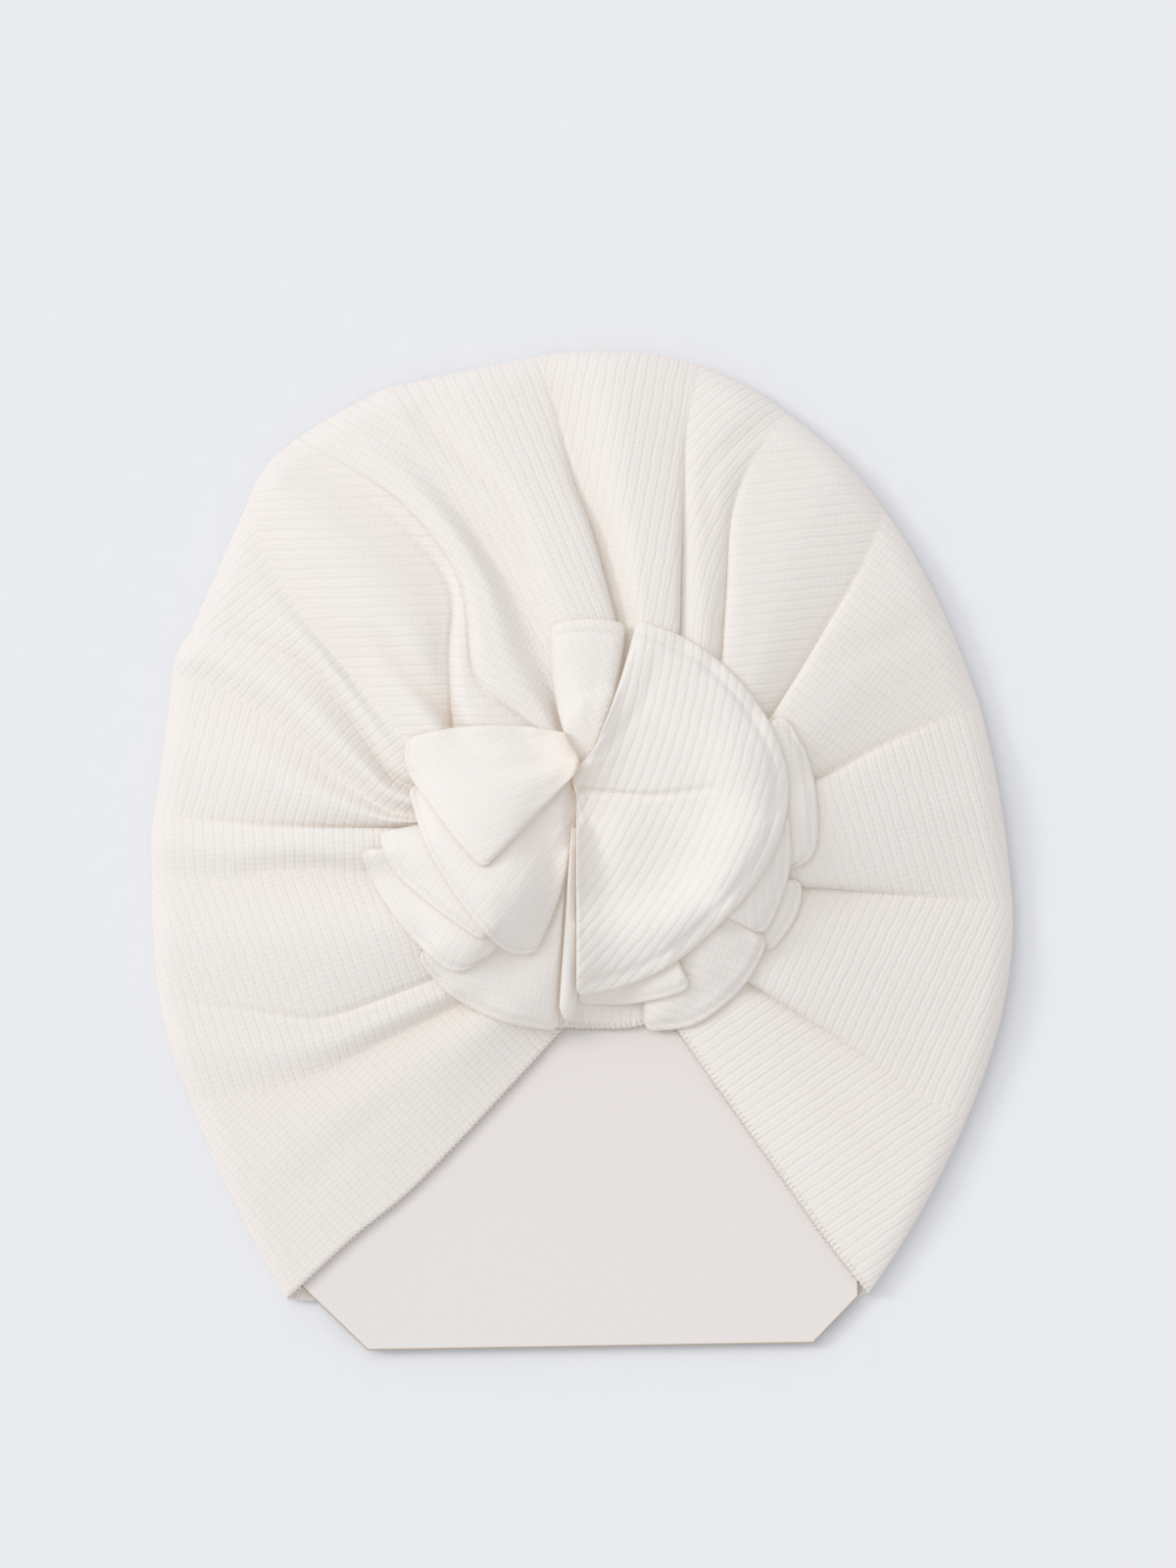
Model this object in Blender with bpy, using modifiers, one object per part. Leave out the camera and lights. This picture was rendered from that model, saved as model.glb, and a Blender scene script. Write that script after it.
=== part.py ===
"""A baby's knitted turban headwrap, lying on its back with a plain display card in it.

Blender 4.5. The tables are in millimetres, seen from above with +Y towards the top of the
hat and the face opening at -Y. z = 0 is the surface that the hat lies on.
"""

import math
from collections import namedtuple

import bmesh
import bpy
import numpy as np

MM = 0.001

# Driving dimensions, in millimetres. CENTRE is the middle of all that the tables outline, and
# it goes to the model's origin. CREASE_TAIL is how far a crease keeps straight on
# under the rosette.
WALL = 1.2
GAP = 0.3
EDGE_MID = 3.0
EDGE_RISE = 2.6
EDGE_DEPTH = 4.5
DOME_RISE = 15.0
DOME_POWER = 2.1
DOME_LOW = 0.4
DOME_SLOPE = (-50.0, 25.0)
CENTRE = (-0.4, 0.25)
HUB = (1.0, 6.0)
HUB_RADII = (6.0, 12.0)
HUB_START = math.radians(-97)
HUB_SWEEP = math.radians(-321)
CREASE_TAIL = 8.0
BACK_HEM = ((-56.0, -91.6), (54.6, -90.8))
CARD_THICK = 1.0
CARD_HEIGHT = 150.0
CARD_CLIPS = (13.2, 9.4)
CARD_CORNERS = ((-44.0, -101.8), (47.0, -100.3))
PETAL_THICK = 1.6
PETAL_RIM = 1.3
RIM_LEVEL = 0.2
PETAL_GAP = 0.4
PETAL_SAG = 0.11

# The tables give places as an eye sees them that looks straight down on EYE_OVER from
# EYE_HEIGHT, so that what lies higher looks larger
EYE_OVER = (1.0, 13.8)
EYE_HEIGHT = 1000.0

# How far the hems of the face opening stand above EDGE_MID, where they lie on the card, and where
# under the rosette they start to come down to it
HEM_RISE = 1.1
HEM_START = 0.06
HEM_FALL = 0.2

# How far along a fold each step of the grid lies, from the hub to where the edge starts
FRONT_STEPS = (0.0, 0.08, 0.16, 0.24, 0.33, 0.43, 0.54, 0.65, 0.76, 0.86, 0.94, 1.0)
EDGE_STEPS = (0.45, 0.08)
BACK_STEPS = (0.3, 0.65, 1.0)
LINE_STEPS = 81

# One row for each crease of the front, clockwise from the left hem of the face opening to the
# right hem. Five places on its line, from the outline to the edge of the rosette, then how far
# it sinks below the crown's dome at the outline, half way and at the rosette, and how the cloth
# meets it on each side.
Crease = namedtuple("Crease", "outer far mid near inner sink_out sink_mid sink_in before after")
CREASES = (
    Crease((-60.6, -91.4), (-47, -78.8), (-32.6, -66.6), (-7, -39.3), (8, -22),
           0, 0, 0, "slope", "slope"),
    Crease((-80.4, -50.4), (-69, -49.4), (-55.6, -46), (-41, -39), (-25, -31),
           0.8, 3.2, 4.4, "soft", "soft"),
    Crease((-86.6, -30.2), (-71.8, -31.8), (-56.8, -34), (-48.2, -32.6), (-33, -27),
           0.2, 1, 1.4, "slope", "slope"),
    Crease((-88, -4.2), (-73.2, -5.4), (-62.4, -4), (-54.4, -3.8), (-46.8, -4.6),
           0.5, 1.4, 1.4, "soft", "soft"),
    Crease((-87.6, 7.4), (-72, 6), (-62, 5.3), (-52, 4.9), (-39.6, 4.8),
           0.4, 1.6, 1.8, "steep", "slope"),
    Crease((-83.8, 36.6), (-74, 33.2), (-61.4, 25.2), (-51.6, 16.6), (-42, 9.6),
           0.8, 2.2, 1.4, "soft", "soft"),
    Crease((-80.4, 44.2), (-70.6, 43.6), (-58, 38.8), (-50.4, 31.4), (-40.2, 16.6),
           0.2, 1.8, 2, "soft", "slope"),
    Crease((-69, 70), (-65.4, 63), (-59.6, 52), (-52, 42), (-36.6, 23.6),
           0.9, 1.4, -1, "soft", "soft"),
    Crease((-59.6, 83.2), (-40.4, 69.8), (-27.6, 54.8), (-27.4, 40), (-26.8, 25),
           0.6, 2.2, 1.6, "soft", "slope"),
    Crease((-58.4, 84.4), (-37.6, 71.4), (-25.2, 55.4), (-22, 36), (-12, 26.2),
           0.6, 2, -1, "slope", "steep"),
    Crease((-41, 94.4), (-31.5, 79), (-23.2, 67.4), (-13.6, 52), (-6, 32),
           -0.6, 1.6, 0.8, "soft", "soft"),
    Crease((-8.6, 101.1), (-6, 91.8), (-2, 76), (1.8, 65.4), (6.4, 48.4),
           1, 3, 2.4, "steep", "soft"),
    Crease((23.6, 99.5), (21.2, 87), (20.6, 74.6), (20.2, 62), (19.8, 45.8),
           0.6, 1.6, 1.6, "steep", "slope"),
    Crease((41.4, 89.6), (34, 79), (30.2, 68.4), (29.2, 54), (28.4, 40.8),
           0.2, 1.4, 1.8, "slope", "steep"),
    Crease((61.6, 69.6), (56.4, 57.4), (49, 45), (44.2, 37), (39, 28.6),
           0.8, 1.8, 2.2, "slope", "steep"),
    Crease((81, 29.8), (68, 24.8), (58.6, 20.4), (54, 18), (49, 15.4),
           0.8, 1.8, 2, "slope", "steep"),
    Crease((87.6, -10.2), (71.6, -9.2), (57.2, -8.2), (50, -7.6), (43, -7.2),
           0.8, 1.8, 2, "steep", "slope"),
    Crease((78, -55.2), (65.4, -47.4), (54.4, -40), (43.6, -33), (33.8, -26.8),
           0.8, 2, 2.4, "steep", "slope"),
    Crease((58.2, -90.2), (49, -78.2), (38.6, -63.6), (20, -37.4), (10, -22),
           0, 0, 0, "slope", "slope"),
)

# One row for each panel of cloth between two creases: where its middle meets the outline, how
# far it stands above the dome at the outline, half way and at the rosette, and its columns of
# faces. The ninth is the floor of the open pleat, and the tenth is the pleat beside it.
Panel = namedtuple("Panel", "outer puff_out puff_mid puff_in columns")
PANELS = (
    Panel((-71.5, -71.3), 0.4, 0.8, 1.2, 5),
    Panel((-84.2, -40.6), 0.2, -0.8, -1.2, 3),
    Panel((-87.8, -17.4), 0.8, 1.5, 2, 4),
    Panel((-88.3, 1.8), 0.4, 0.9, 0.7, 3),
    Panel((-85.8, 20.6), 0.8, 1.5, 1.2, 4),
    Panel((-82.8, 40.8), 0.6, 1.4, 0.9, 3),
    Panel((-74.8, 57.2), 1, 0.8, 0.2, 3),
    Panel((-65.2, 78), 0.8, 1.3, 1.4, 4),
    Panel((-59.2, 84), -0.6, -2.6, 2.4, 2),
    Panel((-50.2, 89.4), 0.8, 2.2, 3.2, 4),
    Panel((-25, 97.9), 0.8, 1.8, 2.4, 5),
    Panel((7.4, 102.2), 0.8, 1.4, 1.6, 5),
    Panel((33.6, 94.9), 0.6, 0.9, 1, 3),
    Panel((52.8, 80.2), 0.8, 1.2, 1.2, 4),
    Panel((71.8, 52.6), 0.8, 1.2, 1.2, 4),
    Panel((85.2, 10.4), 0.8, 1.4, 1.6, 5),
    Panel((85.8, -31.6), 0.8, 1.4, 1.6, 5),
    Panel((68.9, -73.5), 0.8, 1.2, 1.4, 5),
)

# The rosette's pieces from the bottom of the stack to the top, and for each its gathers: where
# a gather starts, where it ends, and how far it bows to its left on the way
Petal = namedtuple("Petal", "name puff gathers")
Gather = namedtuple("Gather", "root tip bow")
PETALS = (
    Petal("edge_right", 0.2, (
        Gather((30, -4), (45, -6), 0), Gather((29, -8), (43.6, -13), 0),
        Gather((27, -12), (38.4, -20.8), 0))),
    Petal("fold_right_outer", 0.8, (
        Gather((27, 22), (41.2, 28), 0), Gather((29, 17), (45.4, 20.6), 0), Gather((30, 11), (47.6, 12), 0),
        Gather((30, 4), (47.6, 1), 0), Gather((29, -1), (44, -3.6), 0))),
    Petal("petal_bottom_left", 1.0, (
        Gather((-14, -6), (-34.2, -21.4), 0), Gather((-10, -6), (-27.5, -29), 0),
        Gather((-6.4, -4), (-17, -34.6), 0), Gather((-3.2, 0), (-5, -36.8), 0))),
    Petal("petal_bottom_right", 0.8, (
        Gather((11, -14), (12.6, -36.8), 0), Gather((15, -13), (22, -35.6), 0),
        Gather((19, -11), (29, -31.2), 0), Gather((22, -8), (34.4, -25.2), 0),
        Gather((24, -5), (37.8, -18.2), 0))),
    Petal("petal_bottom", 0.3, (
        Gather((-1, -14), (-1.4, -31.2), 0), Gather((5, -14), (8.2, -31.2), 0),
        Gather((10, -13), (15.8, -30), 0), Gather((14, -11), (22.2, -28), 0))),
    Petal("fold_left_second", 0.6, (
        Gather((-16, 4), (-45.8, 0.2), 0), Gather((-15, 1), (-42, -8), 0), Gather((-13, -3), (-35.6, -17), 0),
        Gather((-11, -6), (-27, -24.4), 0), Gather((-8, -8), (-19.6, -22), 0))),
    Petal("fold_right_lower", 0.8, (
        Gather((22, -10), (37, -17.2), 0), Gather((24, -6), (40.4, -10), 0),
        Gather((25, -1), (42.4, -2), 0), Gather((25, 4), (42, 7.8), 0))),
    Petal("fold_left_first", 0.6, (
        Gather((-14, 9), (-42, 4), 0), Gather((-13, 5), (-38.8, -4), 0),
        Gather((-11, 1), (-31, -11), 0), Gather((-8, -2), (-20.4, -18.6), 0))),
    Petal("petal_left_lower", 0.8, (
        Gather((-2.2, 16.4), (-36, 13.4), 0), Gather((-2.2, 15.8), (-32.4, 2), 0),
        Gather((-2.2, 15), (-27.4, -7), 0), Gather((-2, 14.4), (-21.6, -14.8), 0),
        Gather((-1.8, 13.6), (-15.6, -20.4), 0), Gather((-0.4, 13), (-9.6, -21.2), 1.8))),
    Petal("fold_bottom", 0.4, (
        Gather((-2.4, 5), (-5, -33.4), 0), Gather((-1.8, 5), (-3.1, -34.4), 0),
        Gather((-1.1, 5), (-1.2, -33.4), 0))),
    Petal("petal_top", 0.6, (
        Gather((-1.2, 17.2), (-6.8, 46.6), 1.8), Gather((0, 16.4), (1.2, 47.6), 0),
        Gather((1, 16.2), (9, 46.8), -1.6))),
    Petal("petal_right", 1.4, (
        Gather((0.4, 17), (11.2, 47.6), -0.8), Gather((-1.2, 17.4), (24, 41.8), 0),
        Gather((-2.2, 16.8), (35.2, 31), 0), Gather((-2.4, 16), (41.6, 17.2), 0),
        Gather((-2.4, 15.2), (40.6, 4), 0), Gather((-2.2, 14.2), (33.8, -8.4), 0),
        Gather((-2, 13.4), (21, -21), 0),
        Gather((-1.7, 12.6), (10.4, -26.8), 0), Gather((-1.4, 11.8), (-1.4, -29.8), 0))),
    Petal("petal_left_upper", 1.0, (
        Gather((-3.4, 24.2), (-36.4, 23.6), -2), Gather((-2, 21.6), (-36, 16.6), -0.6),
        Gather((-1, 19.6), (-31, 9.2), 0), Gather((-0.8, 17.8), (-25.8, 2.2), 0),
        Gather((-1.4, 16), (-20.4, -3.8), 0))),
)

# Where the backing under the petals ends, in steps round its middle from +X
BASE_MIDDLE = (1.0, 0.0)
BASE_RADII = (
    34.0, 36.0, 36.0, 33.0, 31.0, 20.0, 28.0, 30.0,
    32.0, 34.0, 35.6, 36.6, 36.0, 37.0, 33.0, 32.0,
)
BASE_THICK = 1.3
BASE_SAG = 0.12
BASE_HEART = 0.02
BASE_RINGS = (0.25, 0.6, 0.9)

KNIT = (0.81, 0.77, 0.74)
PETAL_KNIT = (0.85, 0.82, 0.78)
CARD = (0.77, 0.74, 0.71)
KNIT_ROUGHNESS = 0.95
CARD_ROUGHNESS = 0.6


def through(points, where):
    """Points on the smooth curve through these points, at the given numbers of points along it."""
    points = np.asarray(points, float)
    last = len(points) - 1
    padded = np.vstack([2 * points[0] - points[1], points, 2 * points[-1] - points[-2]])
    where = np.clip(np.asarray(where, float), 0, last)
    start = np.minimum(where.astype(int), last - 1)
    f = (where - start)[:, None]
    a, b, c, d = (padded[start + k] for k in range(4))
    return 0.5 * (2 * b + (c - a) * f + (2 * a - 5 * b + 4 * c - d) * f**2 + (3 * b - a - 3 * c + d) * f**3)


def lengths_along(line):
    """The length of a line up to each of its points."""
    return np.concatenate([[0], np.cumsum(np.linalg.norm(np.diff(line, axis=0), axis=1))])


def resample(line, at):
    """The points at these lengths along a line of points."""
    run = lengths_along(line)
    return np.stack([np.interp(at, run, line[:, k]) for k in (0, 1)], axis=1)


def smooth_step(value):
    value = np.clip(value, 0, 1)
    return value**2 * (3 - 2 * value)


def hub_angles():
    """The places round the hub where the creases end, spread so that the hems stay apart."""
    towards = [math.atan2(c.inner[1] - HUB[1], c.inner[0] - HUB[0]) for c in CREASES]
    sweep = np.unwrap(towards)
    return HUB_START + (sweep - sweep[0]) / (sweep[-1] - sweep[0]) * HUB_SWEEP


def crease_line(crease, angle):
    """Evenly spaced points on a crease from the hub out, straight for a bit under the rosette."""
    hub = np.array([HUB[0] + HUB_RADII[0] * math.cos(angle), HUB[1] + HUB_RADII[1] * math.sin(angle)])
    inner, near = np.array(crease.inner), np.array(crease.near)
    bend = (hub + inner) / 2
    if crease not in (CREASES[0], CREASES[-1]):
        bend = inner + CREASE_TAIL * (inner - near) / np.linalg.norm(inner - near)
    f = np.linspace(0, 1, LINE_STEPS)[:-1, None]
    start = (1 - f) ** 2 * hub + 2 * f * (1 - f) * bend + f**2 * inner
    rest = [crease.inner, crease.near, crease.mid, crease.far, crease.outer]
    line = np.concatenate([start, through(rest, np.linspace(0, len(rest) - 1, 2 * LINE_STEPS))])
    return resample(line, np.linspace(0, lengths_along(line)[-1], LINE_STEPS))


def side_shape(kind, across, along):
    """How cloth climbs from a crease (0) to the middle of its panel (1), softer at the outline."""
    gentle = 1 - (1 - across) ** (2.2 - 0.9 * along)
    if kind == "soft":
        return np.full_like(along, across**2 * (3 - 2 * across))
    if kind == "steep":
        steep = math.sqrt(1 - (1 - min(across * 1.6, 1)) ** 2)
        return steep + (gentle - steep) * smooth_step(2 * along - 1)
    return gentle


def panel_shape(before, after, across, along):
    """The puff of a panel from its first crease (0) to its second (1), between 0 and 1."""
    climb = side_shape(before, min(2 * across, 1), along)
    fall = side_shape(after, min(2 * (1 - across), 1), along)
    return climb * fall


def fold_values(low, mid, high, along):
    """A value at the given fractions from the rosette (0) to the outline (1)."""
    outer = 0.4 * mid + 0.6 * low
    return np.interp(along, (0, 0.25, 0.6, 0.82, 1), (0.5 * high, high, mid, outer, low))


def dome_rise(share, y):
    """The dome above EDGE_MID, this share of the way from the hub out. It is lower by the face."""
    low, high = DOME_SLOPE
    most = DOME_LOW + (1 - DOME_LOW) * smooth_step((y - low) / (high - low))
    return EDGE_RISE + DOME_RISE * most * (1 - share**DOME_POWER)


def hem_share(panel, across, along):
    """How far cloth has come down to the card, next to the hems of the face opening."""
    if panel is PANELS[0]:
        near = 1 - across
    elif panel is PANELS[-1]:
        near = across
    else:
        near = 0
    return near * smooth_step((along - HEM_START) / HEM_FALL)


def crown_surface():
    """The outer surface of the crown as a grid: columns round it, steps from hub to back hem."""
    angles = hub_angles()
    steps = np.array(FRONT_STEPS)
    creases = []
    for crease, angle in zip(CREASES, angles):
        creases.append((crease, crease_line(crease, angle)))
    columns = []
    for k, panel in enumerate(PANELS):
        first, second = creases[k], creases[k + 1]
        last = k == len(PANELS) - 1
        for across in np.linspace(0, 1, panel.columns + 1)[: None if last else -1]:
            columns.append(crown_column(first, second, panel, across, steps))
    return add_back(np.array(columns))


def crown_column(first, second, panel, across, steps):
    """One column of the front, from the hub to the outermost point of the edge."""
    (a, line_a), (b, line_b) = first, second
    fractions = np.linspace(0, 1, LINE_STEPS)
    line = (1 - across) * line_a + across * line_b
    bulge = np.array(panel.outer) - (np.array(a.outer) + np.array(b.outer)) / 2
    line = line + 4 * across * (1 - across) * fractions[:, None] ** 2 * bulge
    total = lengths_along(line)[-1]
    inland = total - EDGE_DEPTH
    edge = [total - EDGE_DEPTH * step for step in EDGE_STEPS] + [total]
    at = np.concatenate([steps * inland, edge])
    plan = resample(line, at)
    along = np.minimum(at / inland, 1)
    sink_a = fold_values(a.sink_out, a.sink_mid, a.sink_in, along)
    sink_b = fold_values(b.sink_out, b.sink_mid, b.sink_in, along)
    puff = fold_values(panel.puff_out, panel.puff_mid, panel.puff_in, along)
    shape = panel_shape(a.after, b.before, across, along)
    sink = (1 - shape) * ((1 - across) * sink_a + across * sink_b)
    dome = dome_rise(at / total, plan[:, 1])
    laid = hem_share(panel, across, along)
    height = dome + (HEM_RISE - dome) * laid + (shape * puff - sink) * (1 - laid)
    left = np.clip((total - at) / EDGE_DEPTH, 0, 1)
    rounding = np.sqrt(1 - (1 - left) ** 2)
    return np.column_stack([plan, EDGE_MID + height * rounding])


def add_back(front):
    """Carries each column round the edge and under the hat to the back hem."""
    outline = front[:, -1, :2]
    run = lengths_along(outline)
    share = (run / run[-1])[:, None]
    hem = (1 - share) * np.array(BACK_HEM[0]) + share * np.array(BACK_HEM[1])
    way = hem - outline
    length = np.linalg.norm(way, axis=1)[:, None]
    way = way / length
    depth = np.minimum(EDGE_DEPTH, 0.6 * length)
    rows = []
    for step in EDGE_STEPS[::-1]:
        height = EDGE_MID * (1 - np.sqrt(1 - (1 - step) ** 2))
        rows.append(np.column_stack([outline + way * depth * step, np.full(len(outline), height)]))
    for step in (0.0,) + BACK_STEPS:
        inland = depth + (length - depth) * step
        rows.append(np.column_stack([outline + way * inland, np.zeros(len(outline))]))
    return np.concatenate([front, np.stack(rows, axis=1)], axis=1)


class Deck:
    """The height of all that has been laid so far, on a grid of cells seen from above.

    PULLS are how many cells away a sheet is held by its neighbours, from coarse to fine, SPILL is
    how far beyond its edges a face counts, and MARGIN how many cells beyond its edges a sheet does.
    """

    CELL = 0.5
    REACH = 56.0
    PULLS = (10, 7, 5, 3, 2, 1)
    PASSES = 14
    SPILL = 0.2
    MARGIN = 3

    def __init__(self):
        self.count = int(2 * self.REACH / self.CELL) + 1
        self.height = np.full((self.count, self.count), WALL + GAP + CARD_THICK)
        side = np.linspace(-self.REACH, self.REACH, self.count)
        self.x, self.y = np.meshgrid(side, side, indexing="ij")

    def cells(self, values):
        return (np.asarray(values) + self.REACH) / self.CELL

    def lay(self, points, triangles):
        """Raises the deck to the top of these triangles."""
        for corners in np.asarray(points)[np.asarray(triangles)]:
            low = np.maximum(np.floor(self.cells(corners[:, :2].min(axis=0))).astype(int), 0)
            high = np.minimum(np.ceil(self.cells(corners[:, :2].max(axis=0))).astype(int), self.count - 1)
            if (low >= high).any():
                continue
            window = np.s_[low[0] : high[0] + 1, low[1] : high[1] + 1]
            (ax, ay, az), (bx, by, bz), (cx, cy, cz) = corners
            area = (bx - ax) * (cy - ay) - (cx - ax) * (by - ay)
            if abs(area) < 1e-6:
                continue
            x, y = self.x[window], self.y[window]
            s = ((x - ax) * (cy - ay) - (cx - ax) * (y - ay)) / area
            t = ((bx - ax) * (y - ay) - (x - ax) * (by - ay)) / area
            inside = (s >= -self.SPILL) & (t >= -self.SPILL) & (s + t <= 1 + self.SPILL)
            level = az + np.clip(s, 0, 1) * (bz - az) + np.clip(t, 0, 1) * (cz - az)
            level = np.minimum(level, corners[:, 2].max())
            before = self.height[window]
            self.height[window] = np.where(inside, np.maximum(before, level), before)

    def drape(self, plan, sag):
        """Heights at which a sheet with this plan lies on the deck, taut but for how much it sags."""
        covered = np.zeros_like(self.height, bool)
        dense = blend_grid(plan, *cross_places(plan))
        i, j = (np.round(self.cells(dense[:, k])).astype(int) for k in (0, 1))
        covered[i, j] = True
        covered = widest(covered, self.MARGIN)
        floor = np.where(covered, self.height, 0)
        weight = covered.astype(float)
        level = floor.copy()
        for pull in self.PULLS:
            share = sum(np.roll(weight, s, axis=k) for k in (0, 1) for s in (-pull, pull))
            drop = sag * (pull * self.CELL) ** 2 / 2
            for _ in range(self.PASSES):
                spread = sum(np.roll(level * weight, s, axis=k) for k in (0, 1) for s in (-pull, pull))
                level = np.where(covered, np.maximum(floor, spread / np.maximum(share, 1) - drop), 0)
        return self.settle(plan, self.read(widest(level, 1), plan))

    def settle(self, plan, under):
        """Lifts the corners of each face of a coarse sheet until the whole face is clear."""
        i, j, fi, fj = cross_places(plan)
        dense = blend_grid(plan, i, j, fi, fj)
        ground = self.read(self.height, dense)
        for _ in range(3):
            need = ground - blend_grid(under[..., None], i, j, fi, fj)[:, 0]
            short = need > 0
            lift = np.zeros_like(under)
            for di in (0, 1):
                for dj in (0, 1):
                    np.maximum.at(lift, (i[short] + di, j[short] + dj), need[short])
            under = under + lift
        return under

    def read(self, field, plan):
        i, j = self.cells(plan[..., 0]), self.cells(plan[..., 1])
        i0, j0 = np.floor(i).astype(int), np.floor(j).astype(int)
        fi, fj = i - i0, j - j0
        near = field[i0, j0] * (1 - fj) + field[i0, j0 + 1] * fj
        far = field[i0 + 1, j0] * (1 - fj) + field[i0 + 1, j0 + 1] * fj
        return near * (1 - fi) + far * fi


def widest(field, cells):
    """The highest value within this many cells of each cell."""
    for axis in (0, 1):
        field = np.max([np.roll(field, s, axis=axis) for s in range(-cells, cells + 1)], axis=0)
    return field


def cross_places(plan):
    """Places spread densely over a grid: the cell that each is in, and how far across it."""
    rows = np.linspace(0, plan.shape[0] - 1, 6 * plan.shape[0])
    columns = np.linspace(0, plan.shape[1] - 1, 8 * plan.shape[1])
    i, j = (side.reshape(-1) for side in np.meshgrid(rows, columns, indexing="ij"))
    i0 = np.minimum(i.astype(int), plan.shape[0] - 2)
    j0 = np.minimum(j.astype(int), plan.shape[1] - 2)
    return i0, j0, i - i0, j - j0


def blend_grid(grid, i, j, fi, fj):
    """The grid's values at such places."""
    fi, fj = fi[:, None], fj[:, None]
    low = grid[i, j] * (1 - fj) + grid[i, j + 1] * fj
    high = grid[i + 1, j] * (1 - fj) + grid[i + 1, j + 1] * fj
    return low * (1 - fi) + high * fi


def petal_plan(petal):
    """The plan of a petal, by column and step, and how far along its column each point lies."""
    gathers = petal.gathers
    inner = np.linspace(0, len(gathers) - 1, 2 * len(gathers) - 1)
    roots = through([g.root for g in gathers], inner)
    tips = through([g.tip for g in gathers], inner)
    bows = through([(g.bow, 0) for g in gathers], inner)[:, 0]
    span = np.linalg.norm(np.diff(tips, axis=0), axis=1)
    first, last = PETAL_RIM / span[0] / 2, inner[-1] - PETAL_RIM / span[-1] / 2
    at = np.concatenate([[inner[0], first], inner[1:-1], [last, inner[-1]]])
    roots, tips = (np.stack([np.interp(at, inner, p[:, k]) for k in (0, 1)], axis=1) for p in (roots, tips))
    bows = np.interp(at, inner, bows)
    length = np.linalg.norm(tips - roots, axis=1)
    most = max(3, int(length.max() // 6))
    columns, places = [], []
    for root, tip, bow, reach in zip(roots, tips, bows, length):
        rim = PETAL_RIM / reach
        steps = np.concatenate([[0, rim], np.linspace(rim, 1 - rim, most + 1)[1:-1], [1 - rim, 1]])
        left = np.array([-(tip - root)[1], (tip - root)[0]]) / reach
        line = root + (tip - root) * steps[:, None]
        columns.append(line + left * bow * 4 * (steps * (1 - steps))[:, None])
        places.append(steps)
    order = 1 if clockwise(tips, roots) else -1
    return np.array(columns)[::order], np.array(places)[::order]


def clockwise(tips, roots):
    """Whether the gathers turn clockwise about their roots, as the faces need."""
    first, last = tips[0] - roots.mean(axis=0), tips[-1] - roots.mean(axis=0)
    return first[0] * last[1] - first[1] * last[0] < 0


def lobe(along):
    """How a petal puffs: between its edges, and most of all before its tip."""
    across = np.linspace(0, 1, len(along))[:, None]
    return np.sin(math.pi * across) * 2.2 * along**1.2 * np.sqrt(1 - along)


def grid_faces(columns, steps, start=0, turned=False):
    """The quads of a grid of columns by steps, numbered from start."""
    quads = []
    for i in range(columns - 1):
        for j in range(steps - 1):
            corner = start + i * steps + j
            quad = (corner, corner + 1, corner + steps + 1, corner + steps)
            quads.append(quad[::-1] if turned else quad)
    return quads


def fill_between(top, bottom):
    """Points and quads of the closed body between two grids that share their rim."""
    columns, steps = top.shape[:2]
    number = np.arange(columns * steps).reshape(columns, steps)
    rim = np.ones((columns, steps), bool)
    rim[1:-1, 1:-1] = False
    below = np.where(rim, number, 0)
    below[~rim] = columns * steps + np.arange((~rim).sum())
    points = np.concatenate([top.reshape(-1, 3), bottom[~rim]])
    quads = grid_faces(columns, steps, turned=True)
    table = {a: b for a, b in zip(number.reshape(-1), below.reshape(-1))}
    quads += [tuple(int(table[p]) for p in quad[::-1]) for quad in quads]
    return points, quads


def triangles_of(quads):
    """Both ways of cutting each quad in two."""
    cuts = ((0, 1, 2), (0, 2, 3), (0, 1, 3), (1, 2, 3))
    return [tuple(quad[k] for k in cut) for quad in quads for cut in cuts]


def make_material(name, colour, roughness):
    material = bpy.data.materials.new(name)
    material.use_nodes = True
    shader = material.node_tree.nodes["Principled BSDF"]
    shader.inputs["Base Color"].default_value = (*colour, 1)
    shader.inputs["Roughness"].default_value = roughness
    material.diffuse_color = (*colour, 1)
    return material


def seen_from_above(points):
    """Points of the tables as the eye sees them, moved to where they really are, in metres."""
    points = np.array(points, float)
    points[:, :2] = EYE_OVER + (points[:, :2] - EYE_OVER) * (1 - points[:, 2:] / EYE_HEIGHT)
    points[:, :2] -= CENTRE
    return points * MM


def make_object(name, points, quads, material, collection, smooth=True):
    """An object from points in millimetres and the faces between them."""
    mesh = bpy.data.meshes.new(name)
    shape = bmesh.new()
    verts = [shape.verts.new(point) for point in seen_from_above(points)]
    for quad in quads:
        shape.faces.new([verts[i] for i in quad])
    shape.normal_update()
    shape.to_mesh(mesh)
    shape.free()
    if smooth:
        mesh.shade_smooth()
    mesh.materials.append(material)
    obj = bpy.data.objects.new(name, mesh)
    collection.objects.link(obj)
    return obj


def make_crown(collection, deck):
    surface = crown_surface()
    columns, steps = surface.shape[:2]
    points = surface.reshape(-1, 3)
    quads = grid_faces(columns, steps, turned=True)
    obj = make_object("crown", points, quads, make_material("crown_knit", KNIT, KNIT_ROUGHNESS), collection)
    wall = obj.modifiers.new("wall", "SOLIDIFY")
    wall.thickness = WALL * MM
    wall.offset = -1
    front = len(FRONT_STEPS) + len(EDGE_STEPS) + 1
    top = surface[:, :front]
    deck.lay(top.reshape(-1, 3), triangles_of(grid_faces(columns, front)))
    return obj


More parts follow.
